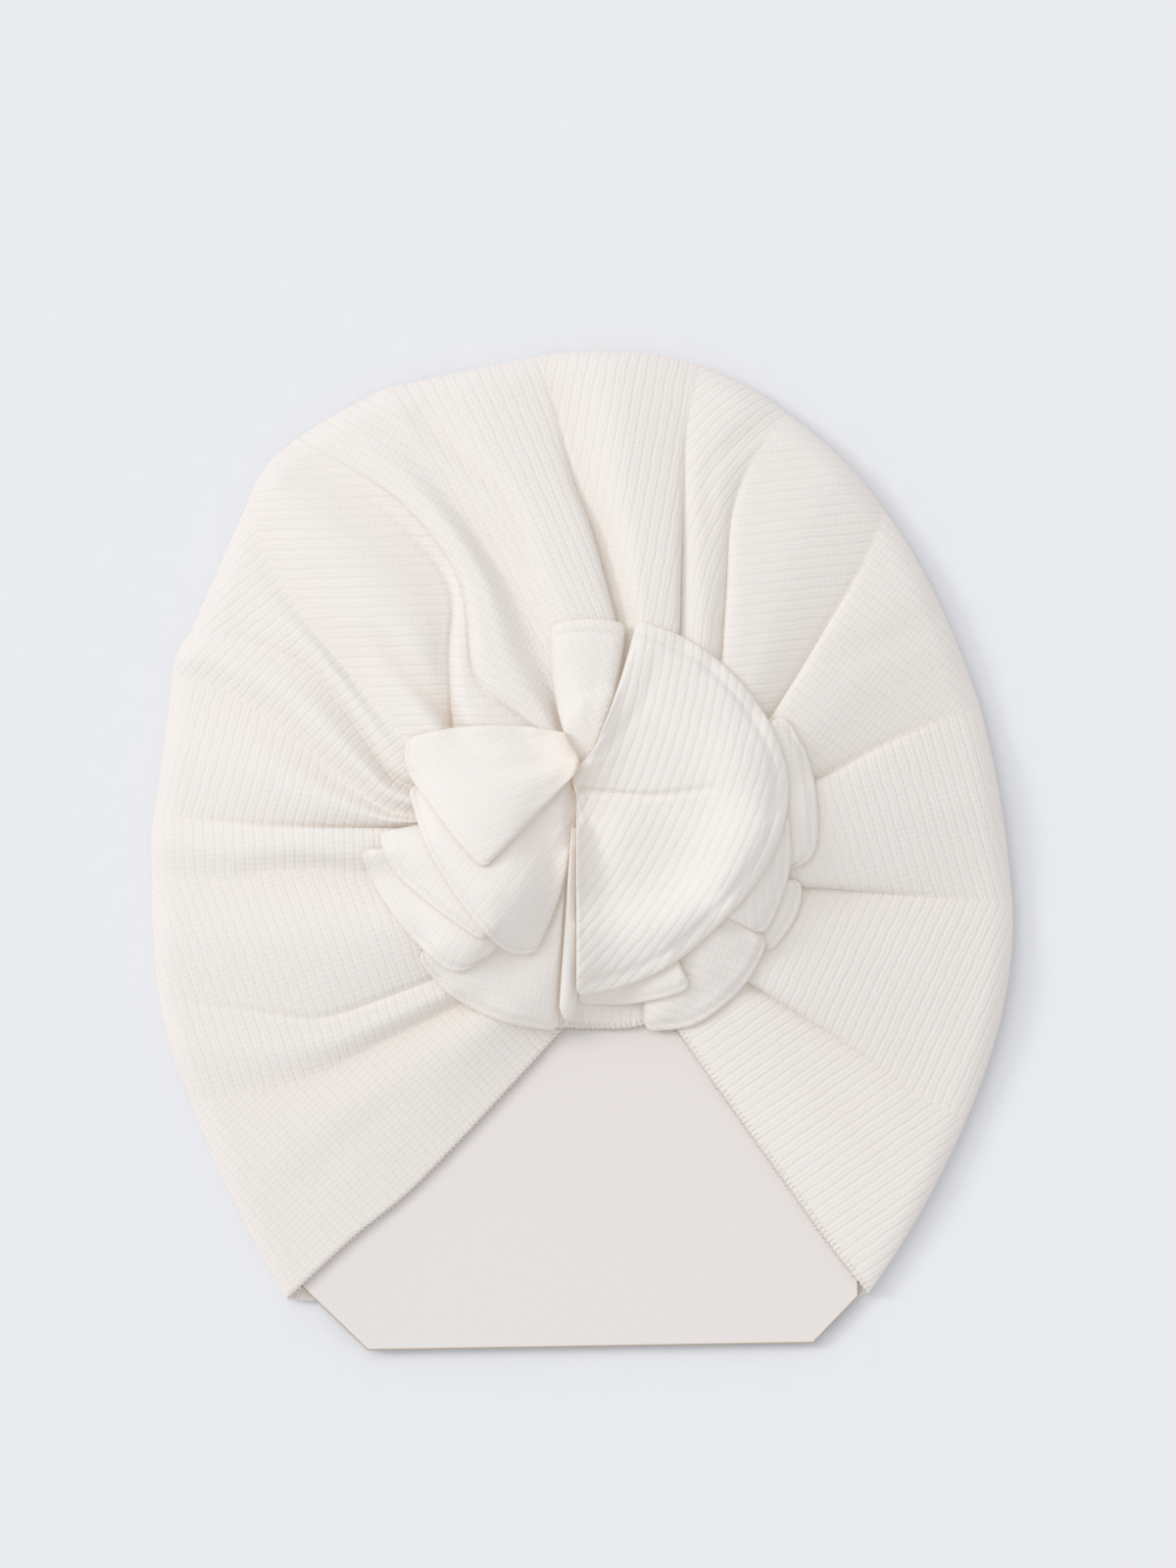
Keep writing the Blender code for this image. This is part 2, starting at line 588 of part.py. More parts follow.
def make_card(collection):
    """A flat card with clipped corners, standing out of the face opening."""
    left, right = (np.array(corner) for corner in CARD_CORNERS)
    along = (right - left) / np.linalg.norm(right - left)
    up = np.array([-along[1], along[0]])
    clip, other = CARD_CLIPS
    width = np.linalg.norm(right - left)
    shape = (
        (0, 0), (width, 0), (width + other, other), (width + other, CARD_HEIGHT - other),
        (width, CARD_HEIGHT), (0, CARD_HEIGHT), (-clip, CARD_HEIGHT - clip), (-clip, clip),
    )
    level = WALL + GAP
    points = [(*(left + along * x + up * y), level) for x, y in shape]
    material = make_material("card_board", CARD, CARD_ROUGHNESS)
    obj = make_object("display_card", points, [tuple(range(len(shape)))], material, collection, smooth=False)
    board = obj.modifiers.new("board", "SOLIDIFY")
    board.thickness = CARD_THICK * MM
    board.offset = 1
    return obj


def make_base(collection, deck, material):
    """The backing that the petals are sewn to, draped over the creases under them."""
    count = len(BASE_RADII)
    angles = np.arange(count) * 2 * math.pi / count
    ring = np.stack([np.cos(angles), np.sin(angles)], axis=1) * np.array(BASE_RADII)[:, None]
    middle = np.array(BASE_MIDDLE)
    places = (BASE_HEART, *BASE_RINGS, 1)
    plan = np.array([[middle + ring[i % count] * place for place in places] for i in range(count + 1)])
    under = deck.drape(plan, BASE_SAG) + PETAL_GAP
    under[0] = under[-1] = np.maximum(under[0], under[-1])
    rings = len(BASE_RINGS)
    points, tops, lows = [], [], []
    for i in range(count):
        tops.append([len(points) + k for k in range(rings)])
        points += [(*plan[i, k + 1], under[i, k + 1] + BASE_THICK) for k in range(rings)]
        lows.append([len(points) + k for k in range(rings)])
        points += [(*plan[i, k + 1], under[i, k + 1]) for k in range(rings)]
        tops[-1].append(len(points))
        lows[-1].append(len(points))
        points.append((*plan[i, -1], under[i, -1] + BASE_THICK / 2))
    level = under[:-1, 0].max()
    heart_top, heart_low = len(points), len(points) + 1
    points += [(*middle, level + BASE_THICK), (*middle, level)]
    faces = []
    for i in range(count):
        n = (i + 1) % count
        faces.append((heart_top, tops[i][0], tops[n][0]))
        faces.append((heart_low, lows[n][0], lows[i][0]))
        for k in range(rings):
            faces.append((tops[i][k], tops[i][k + 1], tops[n][k + 1], tops[n][k]))
            faces.append((lows[n][k], lows[n][k + 1], lows[i][k + 1], lows[i][k]))
    make_object("rosette_base", points, faces, material, collection)
    flat = [f for f in faces if len(f) == 3] + triangles_of([f for f in faces if len(f) == 4])
    deck.lay(points, flat)


def make_petal(petal, collection, deck, material):
    plan, along = petal_plan(petal)
    under = deck.drape(plan, PETAL_SAG) + PETAL_GAP
    over = under + PETAL_THICK + petal.puff * lobe(along)
    rim = np.ones(under.shape, bool)
    rim[1:-1, 1:-1] = False
    top = np.dstack([plan, np.where(rim, under + RIM_LEVEL, over)])
    bottom = np.dstack([plan, np.where(rim, under + RIM_LEVEL, under)])
    points, quads = fill_between(top, bottom)
    make_object(petal.name, points, quads, material, collection)
    deck.lay(points, triangles_of(quads))


def main():
    for obj in list(bpy.data.objects):
        bpy.data.objects.remove(obj, do_unlink=True)
    collection = bpy.data.collections.new("baby_turban_headwrap")
    bpy.context.scene.collection.children.link(collection)
    deck = Deck()
    make_crown(collection, deck)
    make_card(collection)
    make_base(collection, deck, make_material("rosette_base_knit", KNIT, KNIT_ROUGHNESS))
    for petal in PETALS:
        material = make_material(petal.name + "_knit", PETAL_KNIT, KNIT_ROUGHNESS)
        make_petal(petal, collection, deck, material)


main()
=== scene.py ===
"""Looks for a baby's knitted turban headwrap, lying on its back with a plain display card in it.

Blender 4.5. The tables are in millimetres, seen from above with +Y towards the top of the
hat and the face opening at -Y. z = 0 is the surface that the hat lies on.
"""

import math
from collections import namedtuple

import bpy
import numpy as np
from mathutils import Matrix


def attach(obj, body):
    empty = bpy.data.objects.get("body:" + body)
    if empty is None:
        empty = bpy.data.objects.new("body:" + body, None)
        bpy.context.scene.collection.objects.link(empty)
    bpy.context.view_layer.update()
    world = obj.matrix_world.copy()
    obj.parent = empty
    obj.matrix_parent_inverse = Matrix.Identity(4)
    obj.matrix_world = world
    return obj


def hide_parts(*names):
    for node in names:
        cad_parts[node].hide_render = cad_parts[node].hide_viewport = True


MM = 0.001

# The same driving dimensions as the model's, in millimetres. CENTRE is the model's origin, and
# CREASE_TAIL is how far a crease keeps straight on under the rosette.
WALL = 1.2
GAP = 0.3
EDGE_MID = 3.0
EDGE_RISE = 2.6
EDGE_DEPTH = 4.5
DOME_RISE = 15.0
DOME_POWER = 2.1
DOME_LOW = 0.4
DOME_SLOPE = (-50.0, 25.0)
CENTRE = (-0.4, 0.25)
HUB = (1.0, 6.0)
HUB_RADII = (6.0, 12.0)
HUB_START = math.radians(-97)
HUB_SWEEP = math.radians(-321)
CREASE_TAIL = 8.0
BACK_HEM = ((-56.0, -91.6), (54.6, -90.8))
CARD_THICK = 1.0
CARD_HEIGHT = 150.0
CARD_CLIPS = (13.2, 9.4)
CARD_CORNERS = ((-44.0, -101.8), (47.0, -100.3))
PETAL_THICK = 1.6
PETAL_GAP = 0.4

# The camera looks straight down on EYE_OVER from EYE_HEIGHT, so that what lies higher looks
# larger. VIEW_HEIGHT is what it sees of the floor from top to bottom.
EYE_OVER = (1.0, 13.8)
EYE_HEIGHT = 1000.0
VIEW_HEIGHT = 320.0

# How finely the cloth is meshed: columns to each of a panel's, and rows from the hub to the edge,
# round the edge and under the hat
FINE_COLUMNS = 6
FRONT_ROWS = 84
EDGE_ROWS = 7
BACK_ROWS = 9
LINE_STEPS = 161

# How far a steep side laps over its crease, how far across its panel the lap reaches, and how
# deep a crease is to be lapped over fully
LAP = 1.5
LAP_REACH = 0.25
LAP_DEPTH = 3.0

# The narrow line at the bottom of each crease that isn't soft, which fades near the outline, and
# how deep a fold is where the cloth gets the most painted shade
CREASE_LINE = 0.6
CREASE_WIDTH = 0.7
DEEPEST = 6.0

# How far the hems of the face opening stand above EDGE_MID, where they lie on the card, and where
# under the rosette they start to come down to it
HEM_RISE = 1.1
HEM_START = 0.06
HEM_FALL = 0.2

# One row for each crease of the front, clockwise from the left hem of the face opening to the
# right hem. Five places on its line, from the outline to the edge of the rosette, then how far
# it sinks below the crown's dome at the outline, half way and at the rosette, and how the cloth
# meets it on each side.
Crease = namedtuple("Crease", "outer far mid near inner sink_out sink_mid sink_in before after")
CREASES = tuple(Crease(*row) for row in (
    ((-60.6, -91.4), (-47, -78.8), (-32.6, -66.6), (-7, -39.3), (8, -22), 0, 0, 0, "slope", "slope"),
    ((-80.4, -50.4), (-69, -49.4), (-55.6, -46), (-41, -39), (-25, -31), 0.8, 3.2, 4.4, "soft", "soft"),
    ((-86.6, -30.2), (-71.8, -31.8), (-56.8, -34), (-48.2, -32.6), (-33, -27), 0.2, 1, 1.4, "slope", "slope"),
    ((-88, -4.2), (-73.2, -5.4), (-62.4, -4), (-54.4, -3.8), (-46.8, -4.6), 0.5, 1.4, 1.4, "soft", "soft"),
    ((-87.6, 7.4), (-72, 6), (-62, 5.3), (-52, 4.9), (-39.6, 4.8), 0.4, 1.6, 1.8, "steep", "slope"),
    ((-83.8, 36.6), (-74, 33.2), (-61.4, 25.2), (-51.6, 16.6), (-42, 9.6), 0.8, 2.2, 1.4, "soft", "soft"),
    ((-80.4, 44.2), (-70.6, 43.6), (-58, 38.8), (-50.4, 31.4), (-40.2, 16.6), 0.2, 1.8, 2, "soft", "slope"),
    ((-69, 70), (-65.4, 63), (-59.6, 52), (-52, 42), (-36.6, 23.6), 0.9, 1.4, -1, "soft", "soft"),
    ((-59.6, 83.2), (-40.4, 69.8), (-27.6, 54.8), (-27.4, 40), (-26.8, 25), 0.6, 2.2, 1.6, "soft", "slope"),
    ((-58.4, 84.4), (-37.6, 71.4), (-25.2, 55.4), (-22, 36), (-12, 26.2), 0.6, 2, -1, "slope", "steep"),
    ((-41, 94.4), (-31.5, 79), (-23.2, 67.4), (-13.6, 52), (-6, 32), -0.6, 1.6, 0.8, "soft", "soft"),
    ((-8.6, 101.1), (-6, 91.8), (-2, 76), (1.8, 65.4), (6.4, 48.4), 1, 3, 2.4, "steep", "soft"),
    ((23.6, 99.5), (21.2, 87), (20.6, 74.6), (20.2, 62), (19.8, 45.8), 0.6, 1.6, 1.6, "steep", "slope"),
    ((41.4, 89.6), (34, 79), (30.2, 68.4), (29.2, 54), (28.4, 40.8), 0.2, 1.4, 1.8, "slope", "steep"),
    ((61.6, 69.6), (56.4, 57.4), (49, 45), (44.2, 37), (39, 28.6), 0.8, 1.8, 2.2, "slope", "steep"),
    ((81, 29.8), (68, 24.8), (58.6, 20.4), (54, 18), (49, 15.4), 0.8, 1.8, 2, "slope", "steep"),
    ((87.6, -10.2), (71.6, -9.2), (57.2, -8.2), (50, -7.6), (43, -7.2), 0.8, 1.8, 2, "steep", "slope"),
    ((78, -55.2), (65.4, -47.4), (54.4, -40), (43.6, -33), (33.8, -26.8), 0.8, 2, 2.4, "steep", "slope"),
    ((58.2, -90.2), (49, -78.2), (38.6, -63.6), (20, -37.4), (10, -22), 0, 0, 0, "slope", "slope"),
))

# One row for each panel of cloth between two creases: where its middle meets the outline, how
# far it stands above the dome at the outline, half way and at the rosette, and its columns of
# faces in the model. Then the direction of its ribs in degrees from +X, how much they turn in
# each millimetre outwards, and how much they spread. The ninth is the floor of the open pleat,
# and the tenth is the pleat beside it.
Panel = namedtuple("Panel", "outer puff_out puff_mid puff_in columns ribs turn spread", defaults=(0, 0))
PANELS = tuple(Panel(*row) for row in (
    ((-71.5, -71.3), 0.4, 0.8, 1.2, 5, 133),
    ((-84.2, -40.6), 0.2, -0.8, -1.2, 3, 108),
    ((-87.8, -17.4), 0.8, 1.5, 2, 4, 109),
    ((-88.3, 1.8), 0.4, 0.9, 0.7, 3, 93),
    ((-85.8, 20.6), 0.8, 1.5, 1.2, 4, 75),
    ((-82.8, 40.8), 0.6, 1.4, 0.9, 3, 48),
    ((-74.8, 57.2), 1, 0.8, 0.2, 3, 40),
    ((-65.2, 78), 0.8, 1.3, 1.4, 4, 2),
    ((-59.2, 84), -0.6, -2.6, 2.4, 2, 0),
    ((-50.2, 89.4), 0.8, 2.2, 3.2, 4, 148),
    ((-25, 97.9), 0.8, 1.8, 2.4, 5, 116, 0, 0.007),
    ((7.4, 102.2), 0.8, 1.4, 1.6, 5, 80),
    ((33.6, 94.9), 0.6, 0.9, 1, 3, 60, -0.018),
    ((52.8, 80.2), 0.8, 1.2, 1.2, 4, 6),
    ((71.8, 52.6), 0.8, 1.2, 1.2, 4, 142),
    ((85.2, 10.4), 0.8, 1.4, 1.6, 5, 106),
    ((85.8, -31.6), 0.8, 1.4, 1.6, 5, 65),
    ((68.9, -73.5), 0.8, 1.2, 1.4, 5, 35),
))

# Small creases that don't reach from the rosette to the outline: the points they pass through,
# how deep they are half way, how wide, and how much of that depth they have at their first point.
# WRINKLE_END is where in the half wave of its depth a wrinkle ends.
Wrinkle = namedtuple("Wrinkle", "points depth width start", defaults=(0.4,))
WRINKLE_STEPS = 41
WRINKLE_END = 0.88
CROWN_WRINKLES = (
    Wrinkle(((-33, 88), (-25, 81), (-15, 71), (-10, 57)), 1.0, 2.0),
    Wrinkle(((38, 87.6), (27, 79.6), (25.6, 66), (25.4, 52)), 0.8, 2.0),
    Wrinkle(((-42, 45), (-34, 35), (-22, 21)), 2.4, 2.4, 0.2),
    Wrinkle(((74, 50), (62, 43), (52, 40)), 0.7, 3.0),
    Wrinkle(((-60, -70), (-44, -56), (-30, -44)), 0.5, 4.0),
    Wrinkle(((66, -66), (52, -52), (38, -42)), 0.7, 4.0),
)

# The rosette's pieces from the bottom of the stack to the top: how far each puffs up, how far in
# from its tips its upper layer ends, and its ribs as the panels have them. Then its gathers: where
# each starts, where it ends, and how far it bows to its left on the way if it does.
Petal = namedtuple("Petal", "name puff inset ribs turn gathers")
Gather = namedtuple("Gather", "root tip bow", defaults=(0,))
PETALS = (
    Petal("edge_right", 0.2, 1.6, 96, 0, (
        ((30, -4), (45, -6)), ((29, -8), (43.6, -13)), ((27, -12), (38.4, -20.8)))),
    Petal("fold_right_outer", 0.8, 1.4, 96, 0, (
        ((27, 22), (41.2, 28)), ((29, 17), (45.4, 20.6)), ((30, 11), (47.6, 12)), ((30, 4), (47.6, 1)),
        ((29, -1), (44, -3.6)))),
    Petal("petal_bottom_left", 1.0, 1.4, 165, 0, (
        ((-14, -6), (-34.2, -21.4)), ((-10, -6), (-27.5, -29)), ((-6.4, -4), (-17, -34.6)),
        ((-3.2, 0), (-5, -36.8)))),
    Petal("petal_bottom_right", 0.8, 1.4, 159, 0, (
        ((11, -14), (12.6, -36.8)), ((15, -13), (22, -35.6)), ((19, -11), (29, -31.2)),
        ((22, -8), (34.4, -25.2)), ((24, -5), (37.8, -18.2)))),
    Petal("petal_bottom", 0.3, 1.2, 95, 0, (
        ((-1, -14), (-1.4, -31.2)), ((5, -14), (8.2, -31.2)), ((10, -13), (15.8, -30)),
        ((14, -11), (22.2, -28)))),
    Petal("fold_left_second", 0.6, 1.4, 60, 0, (
        ((-16, 4), (-45.8, 0.2)), ((-15, 1), (-42, -8)), ((-13, -3), (-35.6, -17)),
        ((-11, -6), (-27, -24.4)), ((-8, -8), (-19.6, -22)))),
    Petal("fold_right_lower", 0.8, 1.4, 96, 0, (
        ((22, -10), (37, -17.2)), ((24, -6), (40.4, -10)), ((25, -1), (42.4, -2)), ((25, 4), (42, 7.8)))),
    Petal("fold_left_first", 0.6, 1.4, 55, 0, (
        ((-14, 9), (-42, 4)), ((-13, 5), (-38.8, -4)), ((-11, 1), (-31, -11)),
        ((-8, -2), (-20.4, -18.6)))),
    Petal("petal_left_lower", 0.8, 1.6, 51, 0, (
        ((-2.2, 16.4), (-36, 13.4)), ((-2.2, 15.8), (-32.4, 2)), ((-2.2, 15), (-27.4, -7)),
        ((-2, 14.4), (-21.6, -14.8)), ((-1.8, 13.6), (-15.6, -20.4)), ((-0.4, 13), (-9.6, -21.2), 1.8))),
    Petal("fold_bottom", 0.4, 0, 90, 0, (
        ((-2.4, 5), (-5, -33.4)), ((-1.8, 5), (-3.1, -34.4)), ((-1.1, 5), (-1.2, -33.4)))),
    Petal("petal_top", 0.6, 2.6, 115, 0, (
        ((-1.2, 17.2), (-6.8, 46.6), 1.8), ((0, 16.4), (1.2, 47.6)), ((1, 16.2), (9, 46.8), -1.6))),
    Petal("petal_right", 1.4, 3.0, 66, 0.0096, (
        ((0.4, 17), (11.2, 47.6), -0.8), ((-1.2, 17.4), (24, 41.8)), ((-2.2, 16.8), (35.2, 31)),
        ((-2.4, 16), (41.6, 17.2)), ((-2.4, 15.2), (40.6, 4)), ((-2.2, 14.2), (33.8, -8.4)),
        ((-2, 13.4), (21, -21)), ((-1.7, 12.6), (10.4, -26.8)), ((-1.4, 11.8), (-1.4, -29.8)))),
    Petal("petal_left_upper", 1.0, 1.2, 20, 0, (
        ((-3.4, 24.2), (-36.4, 23.6), -2), ((-2, 21.6), (-36, 16.6), -0.6), ((-1, 19.6), (-31, 9.2)),
        ((-0.8, 17.8), (-25.8, 2.2)), ((-1.4, 16), (-20.4, -3.8)))),
)

# How finely the petals are meshed, across and along: the size of a cell and the most cells. Then
# the steps of a rounded rim.
PETAL_CELL = (0.9, 0.5)
MOST_CELLS = (110, 76)
RIM_STEPS = 4

# How a petal's cloth lies: how wide its rounded rim is and how high above what is under it, how
# round its corners are, how much it sags and how thin it gets in a fold. The small bumps, which
# are this many cells wide, are evened out from its edges in.
PETAL_RIM = 1.3
RIM_LEVEL = 0.2
PETAL_CORNER = 2.2
PETAL_SAG = 0.11
PETAL_LEAST = 0.6
EVEN_FROM = 7.0
EVEN_CELLS = 4

# The edge of a petal's upper layer near its tips: the step, the line along it, and their width
LAYER_STEP = 0.6
LAYER_LINE = 0.5
LAYER_WIDTH = 0.5

# The soft pleats at a petal's root: how high they are, how far out they reach and how wide each is
GATHER_HEIGHT = 0.12
GATHER_REACH = 8.0
GATHER_WIDTH = 16.0

# The petals whose ribs show plainly
STRONG_RIBS = ("petal_right", "petal_bottom_right", "fold_right_lower", "fold_right_outer")

# Folds in the petals, by the name of the petal
PETAL_WRINKLES = {
    "petal_right": (
        Wrinkle(((0, 12.6), (13, 11.4), (26.4, 13)), 1.2, 0.7, 1),
        Wrinkle(((4, 20), (12, 30), (17, 43)), 0.4, 1.6),
    ),
    "petal_left_upper": (Wrinkle(((-3, 19.5), (-14, 17), (-27, 17)), 0.4, 1.6),),
    "petal_left_lower": (Wrinkle(((-3, 12), (-11, 0), (-17, -12)), 0.3, 1.6),),
    "petal_top": (Wrinkle(((4.6, 46), (2.6, 34), (0.8, 24)), 0.4, 1.0),),
}

# Where the backing under the petals ends, in steps round its middle from +X
BASE_MIDDLE = (1.0, 0.0)
BASE_RADII = (
    34.0, 36.0, 36.0, 33.0, 31.0, 20.0, 28.0, 30.0,
    32.0, 34.0, 35.6, 36.6, 36.0, 37.0, 33.0, 32.0,
)
BASE_THICK = 1.3
BASE_SAG = 0.12
BASE_RIM = 1.2
BASE_ACROSS = 68.0
BASE_RINGS = 14
BASE_SPOKES = 128

# The overlocked thread that binds the cut edges: its radius, from stitch to stitch, how far in it
# bites, how much it slants, and its steps along and round. HEM_COLUMNS of the crown and its rows
# from HEM_FROM on show its hems, and BASE_BOUND are the spokes between which the backing is bound.
THREAD_RADIUS = 0.15
THREAD_PITCH = 1.1
THREAD_BITE = 1.2
THREAD_SLANT = 0.4
THREAD_STEPS = 13
THREAD_SIDES = 6
THREAD_SEED = 7
HEM_COLUMNS = 40
HEM_FROM = 10
BASE_BOUND = (91, 109)

# The card's bevel: how far in from its outline each ring of points lies, and how high
CARD_BEVEL = (
    (0.3, 0), (0, 0.3), (0, CARD_THICK - 0.3), (0.12, CARD_THICK - 0.06), (0.3, CARD_THICK))

# How large the backing's cloth is taken to have been cut, in millimetres. Then the least side and
# share of its sides' product that a piece is given, and what a petal's plan
# is let out by.
BASE_FLAT = (70.0, 70.0)
LEAST_FLAT = 12.0
LEAST_SHARE = 0.31
PETAL_EASE = 1.15

# The knit: a rib is two wales wide, and a row is one stitch of a wale
RIB_PITCH = 2.04
ROW_PITCH = 1.15

# Its relief in millimetres, and how much of that the ribs, wales, rows and fuzz have
Relief = namedtuple("Relief", "height rib wale row fuzz")
CROWN_RELIEF = Relief(0.22, 0.34, 0.26, 0.16, 0.4)
PETAL_RELIEF = Relief(0.2, 0.55, 0.15, 0.15, 0.4)
FAINT_RELIEF = Relief(0.16, 0.22, 0.2, 0.2, 0.6)

# How far the cloth goes towards the colour of its painted shade: in blotches of uneven tone, and as painted
# shade in the grooves of its knit and in its folds
BLOTCH_TINT = 0.04
GROOVE_SHADE = 0.05
FOLD_SHADE = 0.5

# The lights: strength, how wide the light is, and how far it tilts about X and about Y, in degrees
LIGHTS = (("window", 0.68, 36, -24, -26), ("low_window", 0.72, 16, -16, -54))
LIGHT_COLOUR = (1.0, 0.985, 0.965)
SKY = 0.705

# A painted glow that the cloth gives off, standing in for the light that comes through its loose knit from
# all sides
PAINTED_GLOW = (0.12, 0.102, 0.083)

KNIT = (0.71, 0.695, 0.69)
PETAL_KNIT = (0.72, 0.705, 0.70)
THREAD = (0.84, 0.81, 0.79)
# The colour of the painted shade in the cloth's grooves and folds and under the petals, which the blotches
# and the thread's twist also go towards as uneven tone
SHADE_AND_TONE = (0.64, 0.52, 0.41)
CARD = (0.785, 0.75, 0.735)
CARD_EDGE = (0.52, 0.43, 0.33)
FLOOR = (0.82, 0.835, 0.875)
FLOOR_SIZE = 6.0
FLOOR_LEVEL = -0.0004
SENSOR = 24.0


def through(points, where):
    """Points on the smooth curve through these points, at the given numbers of points along it."""
    points = np.asarray(points, float)
    last = len(points) - 1
    padded = np.vstack([2 * points[0] - points[1], points, 2 * points[-1] - points[-2]])
    where = np.clip(np.asarray(where, float), 0, last)
    start = np.minimum(where.astype(int), last - 1)
    f = (where - start)[:, None]
    a, b, c, d = (padded[start + k] for k in range(4))
    return 0.5 * (2 * b + (c - a) * f + (2 * a - 5 * b + 4 * c - d) * f**2 + (3 * b - a - 3 * c + d) * f**3)


def lengths_along(line):
    """The length of a line up to each of its points."""
    return np.concatenate([[0], np.cumsum(np.linalg.norm(np.diff(line, axis=0), axis=1))])


def even_curve(points, count):
    """This many evenly spaced points on the smooth curve through these points."""
    where = np.linspace(0, len(points) - 1, LINE_STEPS)
    run = lengths_along(through(points, where))
    return through(points, np.interp(np.linspace(0, 1, count) * run[-1], run, where))


def resample(line, at):
    """The points at these lengths along a line of points."""
    run = lengths_along(line)
    return np.stack([np.interp(at, run, line[:, k]) for k in range(line.shape[1])], axis=1)


def smooth_step(value):
    value = np.clip(value, 0, 1)
    return value**2 * (3 - 2 * value)


def hub_angles():
    """The places round the hub where the creases end, spread so that the hems stay apart."""
    towards = [math.atan2(c.inner[1] - HUB[1], c.inner[0] - HUB[0]) for c in CREASES]
    sweep = np.unwrap(towards)
    return HUB_START + (sweep - sweep[0]) / (sweep[-1] - sweep[0]) * HUB_SWEEP


def crease_line(crease, angle):
    """Evenly spaced points on a crease from the hub out, straight for a bit under the rosette."""
    hub = np.array([HUB[0] + HUB_RADII[0] * math.cos(angle), HUB[1] + HUB_RADII[1] * math.sin(angle)])
    inner, near = np.array(crease.inner), np.array(crease.near)
    bend = (hub + inner) / 2
    if crease not in (CREASES[0], CREASES[-1]):
        bend = inner + CREASE_TAIL * (inner - near) / np.linalg.norm(inner - near)
    f = np.linspace(0, 1, LINE_STEPS)[:-1, None]
    start = (1 - f) ** 2 * hub + 2 * f * (1 - f) * bend + f**2 * inner
    rest = [crease.inner, crease.near, crease.mid, crease.far, crease.outer]
    line = np.concatenate([start, through(rest, np.linspace(0, len(rest) - 1, 2 * LINE_STEPS))])
    return resample(line, np.linspace(0, lengths_along(line)[-1], LINE_STEPS))


def side_shape(kind, across, along):
    """How cloth climbs from a crease (0) to the middle of its panel (1), softer at the outline."""
    gentle = 1 - (1 - across) ** (2.2 - 0.9 * along)
    if kind == "soft":
        return np.full_like(along, across**2 * (3 - 2 * across))
    if kind == "steep":
        steep = math.sqrt(1 - (1 - min(across * 1.6, 1)) ** 2)
        return steep + (gentle - steep) * smooth_step(2 * along - 1)
    return gentle


def panel_shape(before, after, across, along):
    """The puff of a panel from its first crease (0) to its second (1), between 0 and 1."""
    climb = side_shape(before, min(2 * across, 1), along)
    fall = side_shape(after, min(2 * (1 - across), 1), along)
    return climb * fall


def fold_values(low, mid, high, along):
    """A value at the given fractions from the rosette (0) to the outline (1)."""
    outer = 0.4 * mid + 0.6 * low
    return np.interp(along, (0, 0.25, 0.6, 0.82, 1), (0.5 * high, high, mid, outer, low))


def dome_rise(share, y):
    """The dome above EDGE_MID, this share of the way from the hub out. It is lower by the face."""
    low, high = DOME_SLOPE
    most = DOME_LOW + (1 - DOME_LOW) * smooth_step((y - low) / (high - low))
    return EDGE_RISE + DOME_RISE * most * (1 - share**DOME_POWER)


def hem_share(panel, across, along):
    """How far cloth has come down to the card, next to the hems of the face opening."""
    if panel is PANELS[0]:
        near = 1 - across
    elif panel is PANELS[-1]:
        near = across
    else:
        near = 0
    return near * smooth_step((along - HEM_START) / HEM_FALL)


def lap_shift(kind, sink, across, along, width):
    """How far cloth leans over the crease that it meets, this far across its panel."""
    if kind != "steep":
        return np.zeros_like(along)
    lean = math.sin(math.pi * min(across / LAP_REACH, 1))
    most = np.minimum(LAP, 0.15 * width)
    return most * lean * np.clip(sink / LAP_DEPTH, 0, 1) * np.clip(4 * (1 - along), 0, 1)


def crown_column(first, second, panel, across):
    """One column of the front, and how much painted shade each of its points gets, by how deep it lies in a
    crease.
    """
    (a, line_a), (b, line_b) = first, second
    line = (1 - across) * line_a + across * line_b
    bulge = np.array(panel.outer) - (np.array(a.outer) + np.array(b.outer)) / 2
    share = np.linspace(0, 1, LINE_STEPS) ** 2
    line = line + 4 * across * (1 - across) * share[:, None] * bulge
    total = lengths_along(line)[-1]
    inland = total - EDGE_DEPTH
    turn = np.linspace(0, math.pi / 2, EDGE_ROWS + 1)[1:]
    at = np.concatenate([np.linspace(0, inland, FRONT_ROWS), inland + EDGE_DEPTH * np.sin(turn)])
    plan = resample(line, at)
    far_side = resample(line_b, at / total * lengths_along(line_b)[-1])
    way = far_side - resample(line_a, at / total * lengths_along(line_a)[-1])
    width = np.linalg.norm(way, axis=1)
    way = way / np.maximum(width, 1e-6)[:, None]
    along = np.minimum(at / inland, 1)
    sink_a = fold_values(a.sink_out, a.sink_mid, a.sink_in, along)
    sink_b = fold_values(b.sink_out, b.sink_mid, b.sink_in, along)
    puff = fold_values(panel.puff_out, panel.puff_mid, panel.puff_in, along)
    shape = panel_shape(a.after, b.before, across, along)
    sink = (1 - shape) * ((1 - across) * sink_a + across * sink_b)
    apart = np.minimum(across, 1 - across) * width
    nearer = a if across < 0.5 else b
    crisp = 0 if nearer.before == nearer.after == "soft" else CREASE_LINE
    sink = sink + crisp * np.exp(-((apart / CREASE_WIDTH) ** 2)) * np.clip(2.5 * (1 - along), 0, 1)
    dome = dome_rise(at / total, plan[:, 1])
    laid = hem_share(panel, across, along)
    height = dome + (HEM_RISE - dome) * laid + (shape * puff - sink) * (1 - laid)
    rounding = np.concatenate([np.ones(FRONT_ROWS), np.cos(turn)])
    lean = lap_shift(b.before, sink_b, 1 - across, along, width)
    lean = lean - lap_shift(a.after, sink_a, across, along, width)
    points = np.column_stack([plan + way * lean[:, None], EDGE_MID + height * rounding])
    # How much painted shade each point gets, from how deep it lies in the fold
    return points, np.clip(sink / DEEPEST, 0, 1)


